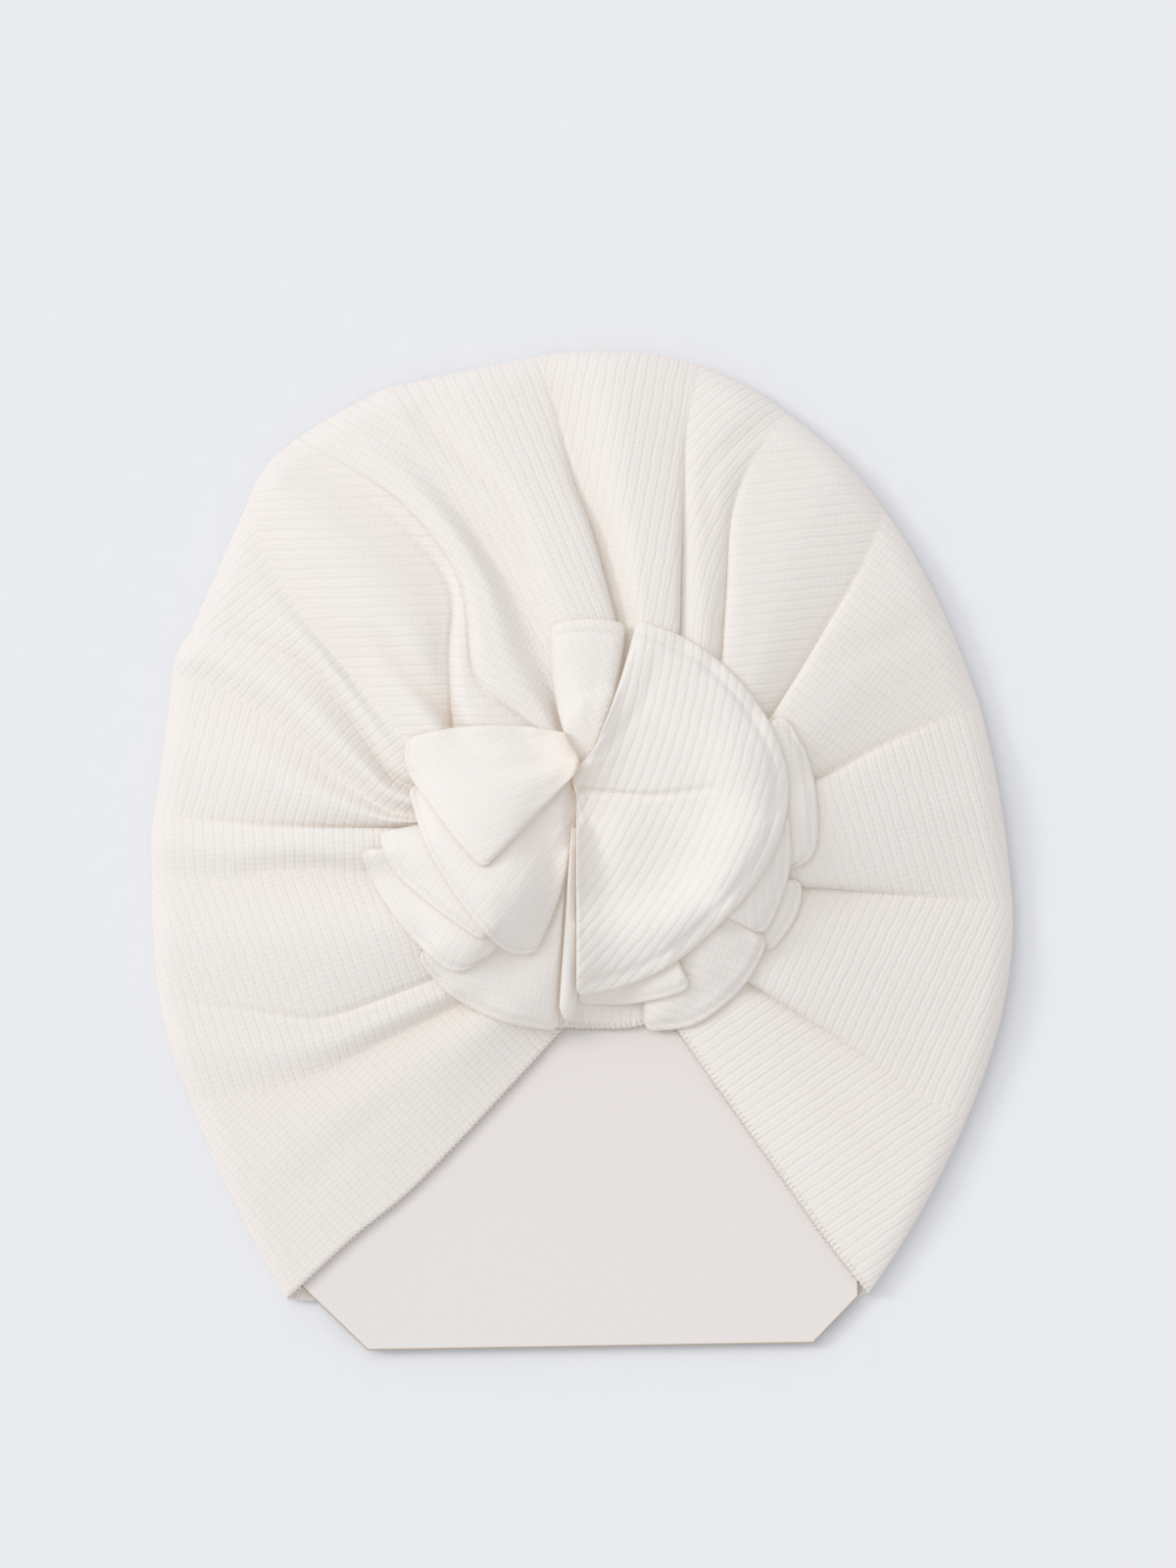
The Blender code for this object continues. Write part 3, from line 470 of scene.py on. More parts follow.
def press_wrinkles(surface, wrinkles):
    """How far each point of a surface sinks into its small creases."""
    flat = surface[..., :2].reshape(-1, 2)
    drop = np.zeros(len(flat))
    for wrinkle in wrinkles:
        line = even_curve(wrinkle.points, WRINKLE_STEPS)
        apart = np.linalg.norm(flat[:, None] - line[None], axis=2)
        nearest = apart.argmin(axis=1)
        first = math.asin(wrinkle.start) / math.pi
        taper = np.sin(math.pi * np.linspace(first, WRINKLE_END, WRINKLE_STEPS))[nearest]
        drop += wrinkle.depth * taper * np.exp(-((apart.min(axis=1) / wrinkle.width) ** 2))
    return drop.reshape(surface.shape[:2])


def add_back(front):
    """Carries each column round the edge and under the hat to the back hem."""
    outline = front[:, -1, :2]
    run = lengths_along(outline)
    share = (run / run[-1])[:, None]
    hem = (1 - share) * np.array(BACK_HEM[0]) + share * np.array(BACK_HEM[1])
    way = hem - outline
    length = np.linalg.norm(way, axis=1)[:, None]
    way = way / length
    depth = np.minimum(EDGE_DEPTH, 0.6 * length)
    rows = []
    for turn in np.linspace(0, math.pi / 2, EDGE_ROWS + 1)[1:]:
        level = np.full(len(outline), EDGE_MID * (1 - math.sin(turn)))
        rows.append(np.column_stack([outline + way * depth * (1 - math.cos(turn)), level]))
    for step in np.linspace(0, 1, BACK_ROWS + 1)[1:]:
        inland = depth + (length - depth) * step
        rows.append(np.column_stack([outline + way * inland, np.zeros(len(outline))]))
    return np.concatenate([front, np.stack(rows, axis=1)], axis=1)


def unrolled(surface):
    """The plan of a surface, with what goes round its edge rolled out flat beyond it."""
    plan = surface[..., :2].copy()
    start = FRONT_ROWS - 1
    outward = plan[:, start] - plan[:, start - 4]
    outward = outward / np.linalg.norm(outward, axis=1)[:, None]
    steps = np.linalg.norm(np.diff(surface[:, start:], axis=1), axis=2)
    rolled = outward[:, None] * np.cumsum(steps, axis=1)[..., None]
    plan[:, start + 1 :] = plan[:, start : start + 1] + rolled
    return plan


def rib_places(plan, ribs, turn=0.0, spread=0.0):
    """Where each point of a plan lies across the ribs and along them, in millimetres."""
    middle = plan.reshape(-1, 2).mean(axis=0)
    angle = math.radians(ribs)
    away = plan - middle
    along = away[..., 0] * math.cos(angle) + away[..., 1] * math.sin(angle)
    across = away[..., 1] * math.cos(angle) - away[..., 0] * math.sin(angle)
    across = across / np.maximum(1 + spread * along, 0.3) - turn * along**2 / 2
    return np.stack([across, along], axis=-1)


def crown_surface():
    """The crown's outer surface, the painted shade in its folds, and a list of its panels' columns."""
    creases = [(crease, crease_line(crease, angle)) for crease, angle in zip(CREASES, hub_angles())]
    columns, fold_shades, spans = [], [], []
    for k, panel in enumerate(PANELS):
        count = panel.columns * FINE_COLUMNS
        even = np.linspace(0, 1, count + 1)
        drawn = even - 0.5 * np.sin(2 * math.pi * even) / (2 * math.pi)
        start = max(len(columns) - 1, 0)
        for across in drawn[0 if k == 0 else 1 :]:
            points, fold = crown_column(creases[k], creases[k + 1], panel, across)
            columns.append(points)
            fold_shades.append(fold)
        spans.append((start, len(columns) - 1))
    front = np.array(columns)
    drop = press_wrinkles(front, CROWN_WRINKLES)
    front[..., 2] -= drop * smooth_step((front[..., 2] - EDGE_MID) / 4)
    surface = add_back(front)
    # Painted shade in the creases, and a little in the wrinkles
    fold = np.zeros(surface.shape[:2])
    fold[:, : front.shape[1]] = np.clip(np.array(fold_shades) + drop / 4, 0, 1)
    return surface, fold, spans


class Deck:
    """The height of all that has been laid so far, on a grid of cells seen from above."""

    CELL = 0.4
    REACH = 56.0
    PULLS = (12, 9, 6, 4, 3, 2, 1)
    PASSES = 14

    def __init__(self):
        self.count = int(2 * self.REACH / self.CELL) + 1
        self.height = np.full((self.count, self.count), WALL + GAP + CARD_THICK)

    def cells(self, values):
        return (np.asarray(values) + self.REACH) / self.CELL

    def lay(self, surface, times=4):
        """Raises the deck to the top of this surface."""
        dense = refine(refine(surface, times).swapaxes(0, 1), times).reshape(-1, 3)
        i, j = (np.round(self.cells(dense[:, k])).astype(int) for k in (0, 1))
        near = (i >= 0) & (j >= 0) & (i < self.count) & (j < self.count)
        np.maximum.at(self.height, (i[near], j[near]), dense[near, 2])

    def drape(self, plan, sag):
        """Heights at which a sheet with this plan lies on the deck, taut but for how much it sags."""
        covered = np.zeros_like(self.height, bool)
        dense = refine(refine(plan, 3).swapaxes(0, 1), 3).reshape(-1, 2)
        i, j = (np.clip(np.round(self.cells(dense[:, k])).astype(int), 4, self.count - 5) for k in (0, 1))
        covered[i, j] = True
        covered = widest(covered, 3)
        floor = np.where(covered, self.height, 0)
        weight = covered.astype(float)
        level = floor.copy()
        for pull in self.PULLS:
            share = sum(np.roll(weight, s, axis=k) for k in (0, 1) for s in (-pull, pull))
            drop = sag * (pull * self.CELL) ** 2 / 2
            for _ in range(self.PASSES):
                spread = sum(np.roll(level * weight, s, axis=k) for k in (0, 1) for s in (-pull, pull))
                level = np.where(covered, np.maximum(floor, spread / np.maximum(share, 1) - drop), 0)
        return self.read(widest(level, 1), plan)

    def read(self, field, plan):
        i, j = self.cells(plan[..., 0]), self.cells(plan[..., 1])
        i0, j0 = np.floor(i).astype(int), np.floor(j).astype(int)
        fi, fj = i - i0, j - j0
        near = field[i0, j0] * (1 - fj) + field[i0, j0 + 1] * fj
        far = field[i0 + 1, j0] * (1 - fj) + field[i0 + 1, j0 + 1] * fj
        return near * (1 - fi) + far * fi


def refine(grid, times):
    """The grid with this many steps for each of its first side's, in straight lines between them."""
    where = np.linspace(0, len(grid) - 1, (len(grid) - 1) * times + 1)
    start = np.minimum(where.astype(int), len(grid) - 2)
    f = (where - start)[:, None, None]
    return grid[start] * (1 - f) + grid[start + 1] * f


def widest(field, cells):
    """The highest value within this many cells of each cell."""
    for axis in (0, 1):
        field = np.max([np.roll(field, s, axis=axis) for s in range(-cells, cells + 1)], axis=0)
    return field


def picked_around(field, reach, pick):
    """Each value replaced by what is picked from those up to reach cells away, such as their mean."""
    for axis in (0, 1):
        padded = np.pad(field, [(reach, reach) if k == axis else (0, 0) for k in (0, 1)], mode="edge")
        count = field.shape[axis]
        shifted = [np.take(padded, range(s, s + count), axis=axis) for s in range(2 * reach + 1)]
        field = pick(shifted, axis=0)
    return field


def evened(under, reach):
    """The heights of a draped sheet without their small bumps, nowhere lower than before."""
    even = picked_around(picked_around(under, reach, np.mean), reach, np.mean)
    bumps = picked_around(under - even, 2 * reach, np.max)
    return even + picked_around(picked_around(bumps, reach, np.mean), reach, np.mean)


def rimmed(count, length, rim):
    """Fractions of a length, closer together in a rim at each end, and how round each lies."""
    share = min(rim / length, 0.45)
    turn = np.linspace(0, math.pi / 2, RIM_STEPS + 1)
    edge = share * (1 - np.cos(turn))
    inner = np.linspace(share, 1 - share, count - 2 * RIM_STEPS)[1:-1]
    where = np.concatenate([edge, inner, 1 - edge[::-1]])
    fullness = np.concatenate([np.sin(turn), np.ones(len(inner)), np.sin(turn)[::-1]])
    return where, fullness


def cells_in(length, side):
    """How many cells of a petal's mesh there are in this length, across it (0) or along it (1)."""
    return int(np.clip(length / PETAL_CELL[side], 3 * RIM_STEPS, MOST_CELLS[side]))


def petal_plan(petal):
    """The plan of a petal by column and step, its columns' fullness and its steps', and its reach."""
    gathers = [Gather(*gather) for gather in petal.gathers]
    width = np.linalg.norm(np.diff([g.tip for g in gathers], axis=0), axis=1).sum()
    across, full_across = rimmed(cells_in(width, 0), width, PETAL_RIM)
    at = across * (len(gathers) - 1)
    roots = through([g.root for g in gathers], at)
    tips = through([g.tip for g in gathers], at)
    bows = through([(g.bow, 0) for g in gathers], at)[:, 0]
    run = lengths_along(tips)
    corner = np.clip(np.minimum(run, run[-1] - run) / PETAL_CORNER, 0, 1)
    cut = 1 - PETAL_CORNER * (1 - np.sqrt(1 - (1 - corner) ** 2)) / np.linalg.norm(tips - roots, axis=1)
    tips = roots + (tips - roots) * cut[:, None]
    reach = np.linalg.norm(tips - roots, axis=1)
    along, full_along = rimmed(cells_in(reach.mean(), 1), reach.mean(), PETAL_RIM)
    way = tips - roots
    left = np.stack([-way[:, 1], way[:, 0]], axis=1) / reach[:, None]
    plan = roots[:, None] + way[:, None] * along[None, :, None]
    plan = plan + left[:, None] * (bows[:, None] * 4 * along * (1 - along))[..., None]
    if not clockwise(tips, roots):
        plan, reach, full_across = plan[::-1], reach[::-1], full_across[::-1]
    return plan, full_across[:, None] * full_along[None], reach, along


def clockwise(tips, roots):
    """Whether the gathers turn clockwise about their roots, as the faces need."""
    first, last = tips[0] - roots.mean(axis=0), tips[-1] - roots.mean(axis=0)
    return first[0] * last[1] - first[1] * last[0] < 0


def grid_faces(columns, steps):
    """The quads of a grid of columns by steps, facing up."""
    corner = (np.arange(columns - 1)[:, None] * steps + np.arange(steps - 1)[None]).reshape(-1)
    return np.stack([corner + steps, corner + steps + 1, corner + 1, corner], axis=1)


def ring_faces(rings, count):
    """The quads between rings of this many points each."""
    quads = []
    for low in range(0, (rings - 1) * count, count):
        for i in range(count):
            j = (i + 1) % count
            quads.append((low + i, low + j, low + count + j, low + count + i))
    return quads


def fill_between(top, bottom):
    """The points of two grids that share their rim, the quads between, and each point's grid place."""
    columns, steps = top.shape[:2]
    number = np.arange(columns * steps).reshape(columns, steps)
    inner = np.zeros((columns, steps), bool)
    inner[1:-1, 1:-1] = True
    below = np.where(inner, 0, number)
    below[inner] = columns * steps + np.arange(inner.sum())
    points = np.concatenate([top.reshape(-1, 3), bottom[inner]])
    quads = grid_faces(columns, steps)
    under = below.reshape(-1)[quads][:, ::-1]
    places = np.concatenate([number.reshape(-1), number[inner]])
    return points, np.concatenate([quads, under]), places


def seen_from_above(points):
    """Points of the tables as the camera sees them, moved to where they really are, in metres."""
    points = np.asarray(points, float).copy()
    points[:, :2] = EYE_OVER + (points[:, :2] - EYE_OVER) * (1 - points[:, 2:] / EYE_HEIGHT)
    points[:, :2] -= CENTRE
    return points * MM


def placed(name, data):
    """A new object in the scene."""
    obj = bpy.data.objects.new(name, data)
    bpy.context.scene.collection.objects.link(obj)
    return obj


def make_object(name, points, quads, material, places=None, fold=None, smooth=True):
    """A piece from points in millimetres and the faces between them."""
    mesh = bpy.data.meshes.new(name)
    mesh.from_pydata(seen_from_above(points).tolist(), [], [tuple(int(i) for i in quad) for quad in quads])
    if places is not None:
        layer = mesh.uv_layers.new(name="knit")
        layer.data.foreach_set("uv", np.asarray(places, np.float32).reshape(-1))
    # A point attribute with how much painted shade each point gets
    if fold is not None:
        attribute = mesh.attributes.new("fold", "FLOAT", "POINT")
        attribute.data.foreach_set("value", np.asarray(fold, np.float32).reshape(-1))
    if smooth:
        mesh.shade_smooth()
    mesh.materials.append(material)
    return placed(name, mesh)


class Shader:
    """A material's nodes, added one after another."""

    def __init__(self, name):
        self.material = bpy.data.materials.new(name)
        self.material.use_nodes = True
        self.tree = self.material.node_tree
        self.surface = self.tree.nodes["Principled BSDF"]

    def join(self, value, socket):
        if isinstance(value, bpy.types.NodeSocket):
            self.tree.links.new(value, socket)
        else:
            socket.default_value = value

    def node(self, kind, inputs=(), **settings):
        """A node with these settings, whose inputs are given by name or by number."""
        made = self.tree.nodes.new(kind)
        for key, value in settings.items():
            setattr(made, key, value)
        for key, value in dict(inputs).items():
            self.join(value, made.inputs[key])
        return made

    def maths(self, operation, *values):
        return self.node("ShaderNodeMath", enumerate(values), operation=operation).outputs[0]

    def noise(self, scale, detail, vector):
        inputs = {"Scale": scale, "Detail": detail, "Vector": vector}
        return self.node("ShaderNodeTexNoise", inputs).outputs["Fac"]

    def mix(self, factor, first, second):
        """From one colour to another, which are given as red, green and blue."""
        inputs = {"Factor": factor, "A": (*first, 1), "B": (*second, 1)}
        return self.node("ShaderNodeMix", inputs, data_type="RGBA").outputs["Result"]

    def bump(self, height, distance):
        inputs = {"Height": height, "Distance": distance, "Strength": 1.0}
        return self.node("ShaderNodeBump", inputs).outputs["Normal"]

    def finish(self, inputs):
        """The material, once the surface has these inputs."""
        for key, value in inputs.items():
            self.join(value, self.surface.inputs[key])
        return self.material


def ridge(shader, place, pitch, power):
    """A row of rounded ridges with narrow grooves between them, from 0 to 1."""
    wave = shader.maths("SINE", shader.maths("MULTIPLY", place, math.pi / pitch))
    return shader.maths("POWER", shader.maths("ABSOLUTE", wave), power)


def knit_material(name, colour, relief):
    """Off-white rib knit: ribs of two wales, rows of stitches and a soft fuzz, with painted shade in its
    grooves and folds and a faint painted glow all over.
    """
    shader = Shader(name)
    uv = shader.node("ShaderNodeUVMap", uv_map="knit").outputs["UV"]
    split = shader.node("ShaderNodeSeparateXYZ", {"Vector": uv})
    wander = shader.noise(0.22, 1.0, uv)
    across = shader.maths("ADD", split.outputs["X"], shader.maths("MULTIPLY", wander, 0.8))
    rib = ridge(shader, across, RIB_PITCH, 1.3)
    wale = ridge(shader, across, RIB_PITCH / 2, 0.8)
    leaning = shader.maths("ADD", split.outputs["Y"], shader.maths("MULTIPLY", wale, 0.35))
    row = ridge(shader, leaning, ROW_PITCH, 0.8)
    place = shader.node("ShaderNodeTexCoord").outputs["Object"]
    fuzz = shader.noise(1400.0, 3.0, place)
    height = shader.maths("MULTIPLY", rib, relief.rib)
    for part, depth in ((wale, relief.wale), (row, relief.row), (fuzz, relief.fuzz)):
        height = shader.maths("ADD", height, shader.maths("MULTIPLY", part, depth))
    blotch = shader.maths("MULTIPLY", shader.noise(90.0, 2.0, place), BLOTCH_TINT)
    # Painted shade in the knit's grooves and in the cloth's folds
    groove_shade = shader.maths("MULTIPLY", shader.maths("SUBTRACT", 1.0, height), GROOVE_SHADE)
    fold = shader.node("ShaderNodeAttribute", attribute_name="fold").outputs["Fac"]
    depth = shader.maths("MULTIPLY", shader.maths("POWER", fold, 1.5), FOLD_SHADE)
    shade = shader.maths("ADD", shader.maths("ADD", blotch, groove_shade), depth)
    return shader.finish({
        "Normal": shader.bump(height, relief.height * MM),
        "Base Color": shader.mix(shader.maths("MINIMUM", shade, 1.0), colour, SHADE_AND_TONE),
        "Roughness": 0.92,
        "Specular IOR Level": 0.25,
        "Sheen Weight": 0.12,
        "Sheen Roughness": 0.6,
        # A faint painted glow all over the cloth, which lightens its shade
        "Emission Color": (*PAINTED_GLOW, 1),
        "Emission Strength": 1.0,
    })


def thread_material():
    """Overlock thread: twisted yarn, a little darker than the cloth."""
    shader = Shader("overlock_thread")
    place = shader.node("ShaderNodeTexCoord").outputs["Object"]
    twist = shader.noise(2600.0, 2.0, place)
    return shader.finish({
        "Normal": shader.bump(twist, 0.12 * MM),
        "Base Color": shader.mix(shader.maths("MULTIPLY", twist, 0.3), THREAD, SHADE_AND_TONE),
        "Roughness": 0.85,
        "Specular IOR Level": 0.3,
    })


def card_material(name, colour):
    """Smooth uncoated board with a faint fibre grain."""
    shader = Shader(name)
    place = shader.node("ShaderNodeTexCoord").outputs["Object"]
    fibre = shader.noise(700.0, 5.0, place)
    cloud = shader.noise(14.0, 2.0, place)
    shade = shader.maths("MULTIPLY", shader.maths("ADD", fibre, cloud), 0.05)
    darker = tuple(0.82 * c for c in colour)
    return shader.finish({
        "Normal": shader.bump(fibre, 0.03 * MM),
        "Base Color": shader.mix(shade, colour, darker),
        "Roughness": shader.maths("ADD", 0.5, shader.maths("MULTIPLY", fibre, 0.2)),
    })


def floor_material():
    """A pale matte table top with hardly any grain."""
    shader = Shader("pale_surface")
    place = shader.node("ShaderNodeTexCoord").outputs["Object"]
    grain = shader.noise(160.0, 4.0, place)
    darker = tuple(0.97 * c for c in FLOOR)
    return shader.finish({
        "Base Color": shader.mix(grain, FLOOR, darker),
        "Roughness": 0.75,
        "Specular IOR Level": 0.2,
    })


def declare_sheet(area, sides):
    """Works out how large the piece's cloth was cut, from its area and its two sides in millimetres, but
    doesn't pass it on.
    """
    flat = tuple(max(side, LEAST_FLAT) * MM for side in sides)
    area = min(max(area * MM * MM, LEAST_SHARE * flat[0] * flat[1]), flat[0] * flat[1])


def make_crown(deck, material):
    surface, fold, spans = crown_surface()
    columns, rows = surface.shape[:2]
    flat = unrolled(surface)
    quads = grid_faces(columns, rows)
    places = np.zeros((columns - 1, rows - 1, 4, 2))
    for (start, stop), panel in zip(spans, PANELS):
        uv = rib_places(flat[start : stop + 1], panel.ribs, panel.turn, panel.spread)
        corners = (uv[1:, :-1], uv[1:, 1:], uv[:-1, 1:], uv[:-1, :-1])
        places[start:stop] = np.stack(corners, axis=2)
    obj = make_object("crown_cloth", surface.reshape(-1, 3), quads, material, places, fold)
    wall = obj.modifiers.new("wall", "SOLIDIFY")
    wall.thickness = WALL * MM
    wall.offset = -1
    deck.lay(surface[:, : FRONT_ROWS + EDGE_ROWS])
    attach(obj, "root")
    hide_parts("crown")
    return obj, surface


def make_petal(petal, deck, materials):
    plan, fullness, reach, along = petal_plan(petal)
    under = deck.drape(plan, PETAL_SAG) + PETAL_GAP
    across = np.linspace(0, 1, len(plan))[:, None]
    lobe = np.sin(math.pi * across) * 2.2 * along**1.2 * np.sqrt(np.maximum(1 - along, 0))
    distance = along[None] * reach[:, None]
    width = np.linalg.norm(np.diff(plan[:, -1], axis=0), axis=1).sum()
    gathers = max(1, round(width / GATHER_WIDTH))
    pleats = GATHER_HEIGHT * np.cos(2 * math.pi * gathers * across) * np.exp(-distance / GATHER_REACH)
    inward = reach[:, None] - distance
    beside = np.minimum(across, 1 - across) * width * along
    inside = smooth_step(np.minimum(inward, beside) / EVEN_FROM)
    under = under + inside * (evened(under, EVEN_CELLS) - under)
    layer = LAYER_STEP * smooth_step((petal.inset - inward) / LAYER_WIDTH + 0.5)
    layer = layer + LAYER_LINE * np.exp(-(((inward - petal.inset) / LAYER_WIDTH) ** 2))
    relief = petal.puff * lobe + pleats - layer * (petal.inset > 0)
    relief = relief - press_wrinkles(plan, PETAL_WRINKLES.get(petal.name, ()))
    over = under + PETAL_THICK + np.maximum(relief * fullness, PETAL_LEAST - PETAL_THICK)
    rim = under + RIM_LEVEL
    top = np.dstack([plan, rim + (over - rim) * fullness])
    bottom = np.dstack([plan, rim - RIM_LEVEL * fullness])
    points, quads, grid_place = fill_between(top, bottom)
    uv = rib_places(plan, petal.ribs, petal.turn).reshape(-1, 2)[grid_place]
    # Painted shade near the petal's root, at its rounded rim and all over its underside
    fold = np.maximum(np.exp(-distance / 4), 0.8 * (1 - fullness) ** 2).reshape(-1)[grid_place]
    fold[len(plan) * len(along) :] = 1
    material = materials[petal.name in STRONG_RIBS]
    obj = make_object(petal.name + "_cloth", points, quads, material, uv[quads], fold)
    deck.lay(top, 2)
    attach(obj, "root")
    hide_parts(petal.name)
    cells = np.cross(np.diff(plan, axis=0)[:, :-1], np.diff(plan, axis=1)[:-1])
    area = PETAL_EASE * abs(cells).sum()
    declare_sheet(area, (width, reach.mean()))


def make_base(deck, material, thread):
    """The backing that the petals are sewn to, draped over the creases under them."""
    count = len(BASE_RADII)
    # All the way round and a bit further. The one before the first steers how the curve starts.
    radii = [(BASE_RADII[k % count],) * 2 for k in (-5, *range(count + 3))]
    reach = through(radii, np.linspace(1, count + 1, BASE_SPOKES + 1))[:, 0]
    angle = np.linspace(0, 2 * math.pi, BASE_SPOKES + 1)
    rings, full = rimmed(2 * BASE_RINGS, BASE_ACROSS, BASE_RIM)
    rings, full = rings[BASE_RINGS:] * 2 - 1, full[BASE_RINGS:]
    spoke = np.stack([np.cos(angle), np.sin(angle)], axis=1) * reach[:, None]
    plan = spoke[:, None] * rings[None, :, None] + np.array(BASE_MIDDLE)
    under = deck.drape(plan, BASE_SAG) + PETAL_GAP
    middle = under + BASE_THICK / 2
    top = np.dstack([plan, middle + BASE_THICK / 2 * full])
    bottom = np.dstack([plan, middle - BASE_THICK / 2 * full])
    spokes, steps = BASE_SPOKES, len(rings)
    corner = np.arange(spokes)[:, None] * steps + np.arange(steps - 1)[None]
    following = (np.arange(spokes) + 1)[:, None] % spokes * steps + np.arange(steps - 1)[None]
    quads = np.stack([corner, corner + 1, following + 1, following], axis=-1).reshape(-1, 4)
    points = np.concatenate([top[:-1].reshape(-1, 3), bottom[:-1].reshape(-1, 3)])
    lower = quads[:, ::-1] + spokes * steps
    rim = np.arange(spokes) * steps + steps - 1
    turned = np.roll(rim, -1)
    side = np.stack([rim, rim + spokes * steps, turned + spokes * steps, turned], axis=1)
    quads = np.concatenate([quads, lower, side])
    uv = rib_places(points[:, :2], 90.0)
    # The whole backing gets a quarter of the painted shade
    obj = make_object("rosette_base_cloth", points, quads, material, uv[quads], np.full(len(points), 0.25))
    deck.lay(top, 2)
    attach(obj, "root")
    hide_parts("rosette_base")
    area = math.pi * (reach**2).mean()
    inner = top[slice(*BASE_BOUND), -1 - RIM_STEPS]
    edge = np.column_stack([top[slice(*BASE_BOUND), -1, :2], inner[:, 2]])
    bound = overlock("base_thread", edge, inner, thread, BASE_THICK)
    declare_sheet(area, BASE_FLAT)


def tube(line, radius, sides):
    """The points and quads of a round thread along a line."""
    line = np.asarray(line, float)
    ahead = np.gradient(line, axis=0)
    ahead = ahead / np.linalg.norm(ahead, axis=1)[:, None]
    first = np.cross(ahead, (0.3, 0.2, 1.0))
    first = first / np.linalg.norm(first, axis=1)[:, None]
    second = np.cross(ahead, first)
    turn = np.arange(sides) * 2 * math.pi / sides
    ring = first[:, None] * np.cos(turn)[None, :, None] + second[:, None] * np.sin(turn)[None, :, None]
    points = (line[:, None] + radius * ring).reshape(-1, 3)
    return points, ring_faces(len(line), sides)


def overlock(name, edge, inner, material, thick):
    """Thread wound over a cut edge, from a line on the cloth inside it and back underneath."""
    run = lengths_along(edge)
    count = int(run[-1] / THREAD_PITCH)
    points, quads = [], []
    chance = np.random.default_rng(THREAD_SEED)
    for k in range(count):
        at = (k + 0.5) * THREAD_PITCH + chance.uniform(-0.12, 0.12)
        tip = resample(edge, [at])[0]
        start = resample(inner, [at / run[-1] * lengths_along(inner)[-1] + THREAD_SLANT])[0]
        out = tip - start
        out = out / np.linalg.norm(out)
        up = np.array([0, 0, 1.0])
        proud = THREAD_RADIUS * 0.55
        bulge = 0.25 + chance.uniform(0, 0.2)
        line = [
            start - up * THREAD_RADIUS,
            start + up * proud + out * 0.25,
            (start + tip) / 2 + up * proud,
            tip - out * 0.2 + up * proud * 0.8,
            tip + out * bulge - up * thick * 0.35,
            tip - out * 0.2 - up * (thick + proud),
            (start + tip) / 2 - up * (thick + proud),
        ]
        stitch = through(line, np.linspace(0, len(line) - 1, THREAD_STEPS))
        ring, faces = tube(stitch, THREAD_RADIUS, THREAD_SIDES)
        quads += [tuple(len(points) * len(ring) + i for i in face) for face in faces]
        points.append(ring)
    obj = make_object(name, np.concatenate(points), quads, material)
    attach(obj, "root")
    return obj


def inside_line(surface, distance, from_start):
    """The line on the crown's surface this far in from its first column or its last."""
    columns = surface if from_start else surface[::-1]
    rows = range(HEM_FROM, FRONT_ROWS + EDGE_ROWS - 1)
    return np.array([resample(columns[:HEM_COLUMNS, row], [distance])[0] for row in rows])


def make_card(board, edge):
    """A flat card with clipped corners and a narrow bevel, standing out of the face opening."""
    left, right = (np.array(corner) for corner in CARD_CORNERS)
    along = (right - left) / np.linalg.norm(right - left)
    up = np.array([-along[1], along[0]])
    clip, other = CARD_CLIPS
    width = np.linalg.norm(right - left)
    shape = (
        (0, 0), (width, 0), (width + other, other), (width + other, CARD_HEIGHT - other),
        (width, CARD_HEIGHT), (0, CARD_HEIGHT), (-clip, CARD_HEIGHT - clip), (-clip, clip),
    )
    level = WALL + GAP
    points = []
    for inset, height in CARD_BEVEL:
        for x, y in inset_outline(shape, inset):
            points.append((*(left + along * x + up * y), level + height))
    count = len(shape)
    sides = ring_faces(len(CARD_BEVEL), count)
    faces = [tuple(range(count))[::-1]] + sides + [tuple(range(len(points) - count, len(points)))]
    obj = make_object("display_card_board", points, faces, board, smooth=False)
    obj.data.materials.append(edge)
    for polygon in obj.data.polygons:
        polygon.material_index = int(len(polygon.vertices) == 4)
    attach(obj, "root")
    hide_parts("display_card")


def inset_outline(shape, distance):
    """The outline moved inwards by a distance on all sides."""
    corners = np.array(shape, float)
    made = []
    for before, here, after in zip(np.roll(corners, 1, axis=0), corners, np.roll(corners, -1, axis=0)):
        first, second = here - before, after - here
        first, second = first / np.linalg.norm(first), second / np.linalg.norm(second)
        inward = np.array([-first[1] - second[1], first[0] + second[0]])
        made.append(here + inward * distance / (1 + first @ second))
    return made


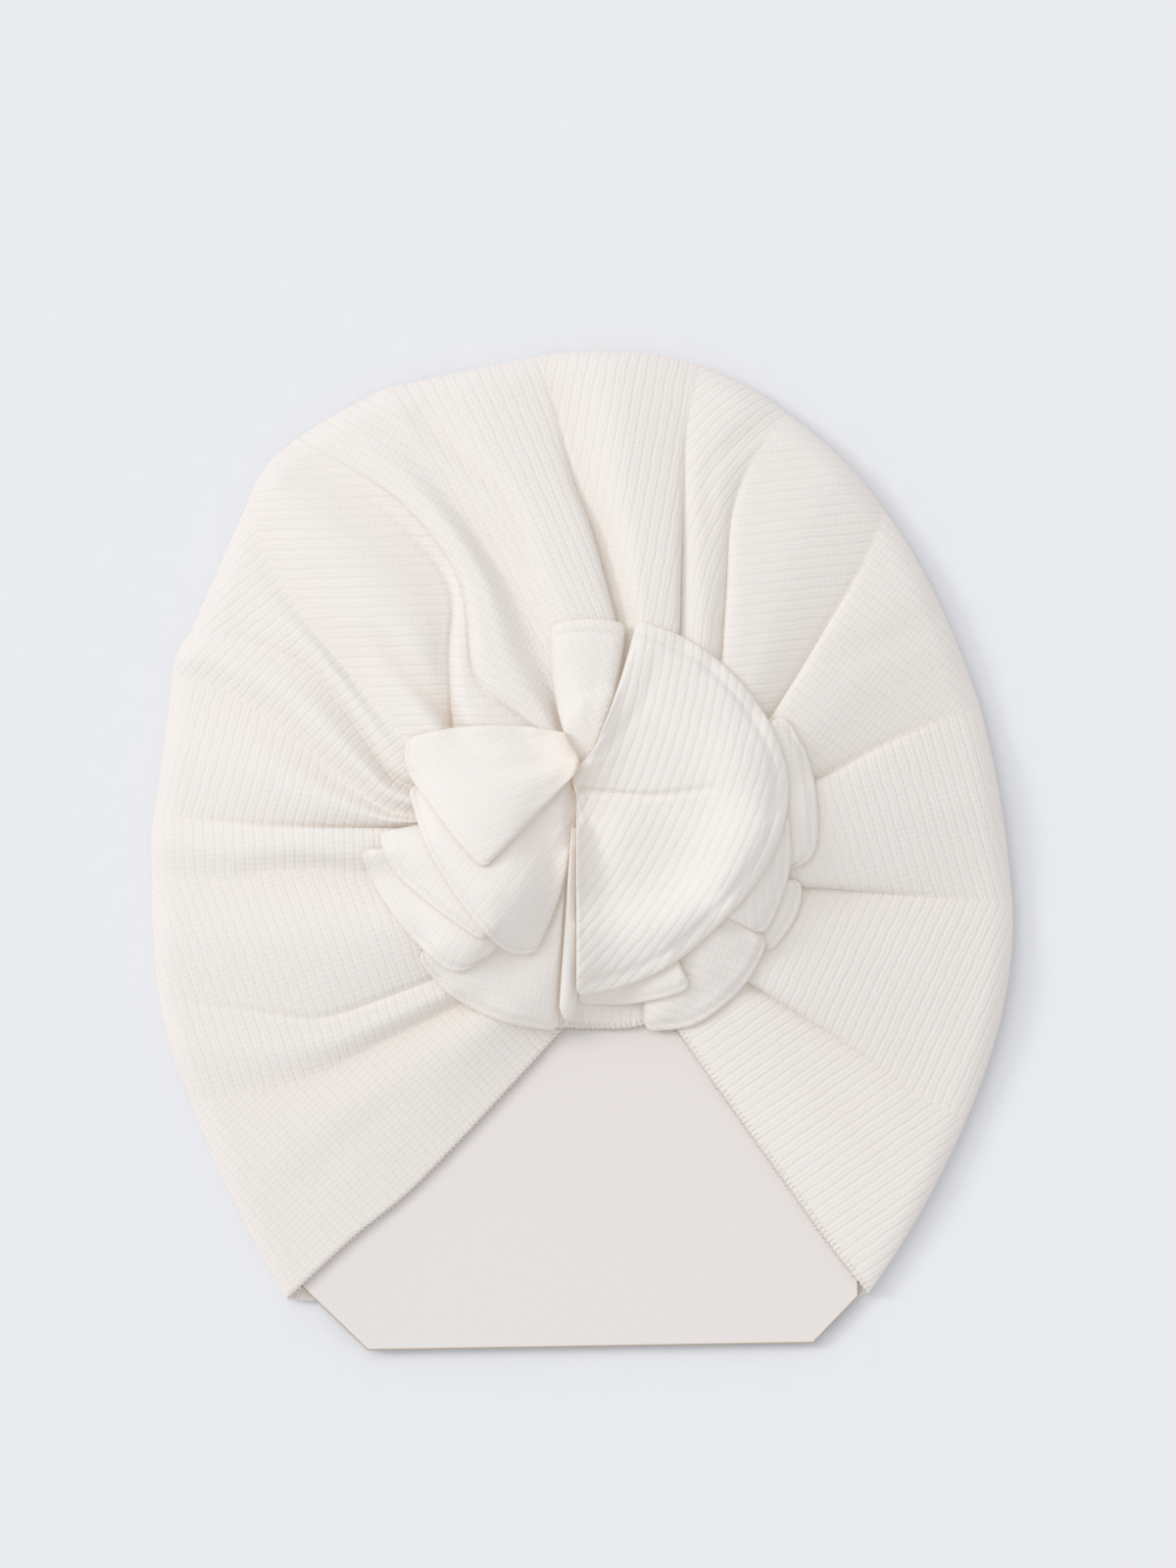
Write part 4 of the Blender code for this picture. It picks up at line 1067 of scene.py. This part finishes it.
def make_stage():
    """The floor, the light of a pale studio and the camera above it."""
    mesh = bpy.data.meshes.new("floor")
    corners = ((-1, -1), (1, -1), (1, 1), (-1, 1))
    points = [(x * FLOOR_SIZE, y * FLOOR_SIZE, FLOOR_LEVEL) for x, y in corners]
    mesh.from_pydata(points, [], [(0, 1, 2, 3)])
    mesh.materials.append(floor_material())
    floor = placed("floor", mesh)
    world = bpy.data.worlds.new("studio")
    world.use_nodes = True
    sky = world.node_tree.nodes["Background"]
    sky.inputs["Color"].default_value = (1, 1, 1, 1)
    sky.inputs["Strength"].default_value = SKY
    bpy.context.scene.world = world
    for name, energy, spread, tilt, lean in LIGHTS:
        sun = bpy.data.lights.new(name, "SUN")
        sun.energy = energy
        sun.angle = math.radians(spread)
        sun.color = LIGHT_COLOUR
        placed(name, sun).rotation_euler = (math.radians(tilt), math.radians(lean), 0)
    camera = placed("camera", bpy.data.cameras.new("camera"))
    camera.data.sensor_fit = "VERTICAL"
    camera.data.sensor_height = SENSOR
    camera.data.lens = SENSOR * EYE_HEIGHT / VIEW_HEIGHT
    camera.location = [(EYE_OVER[0] - CENTRE[0]) * MM, (EYE_OVER[1] - CENTRE[1]) * MM, EYE_HEIGHT * MM]
    bpy.context.scene.camera = camera
    bpy.context.scene.view_settings.view_transform = "Standard"


def main():
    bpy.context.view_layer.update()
    make_stage()
    deck = Deck()
    crown_knit = knit_material("crown_knit", KNIT, CROWN_RELIEF)
    rosette_knit = knit_material("rosette_knit", PETAL_KNIT, PETAL_RELIEF)
    faint_knit = knit_material("rosette_knit_faint", PETAL_KNIT, FAINT_RELIEF)
    thread = thread_material()
    crown, surface = make_crown(deck, crown_knit)
    make_card(card_material("card_board", CARD), card_material("card_edge", CARD_EDGE))
    for name, from_start in (("hem_thread_left", True), ("hem_thread_right", False)):
        edge = inside_line(surface, 0.0, from_start)
        inner = inside_line(surface, THREAD_BITE, from_start)
        overlock(name, edge, inner, thread, WALL)
    make_base(deck, rosette_knit, thread)
    for petal in PETALS:
        make_petal(petal, deck, (faint_knit, rosette_knit))


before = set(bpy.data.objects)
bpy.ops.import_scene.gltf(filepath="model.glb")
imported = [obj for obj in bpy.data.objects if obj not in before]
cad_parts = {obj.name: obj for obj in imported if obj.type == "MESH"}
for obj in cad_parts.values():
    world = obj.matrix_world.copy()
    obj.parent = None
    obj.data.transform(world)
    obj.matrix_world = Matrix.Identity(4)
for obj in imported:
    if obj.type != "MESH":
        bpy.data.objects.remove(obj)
main()
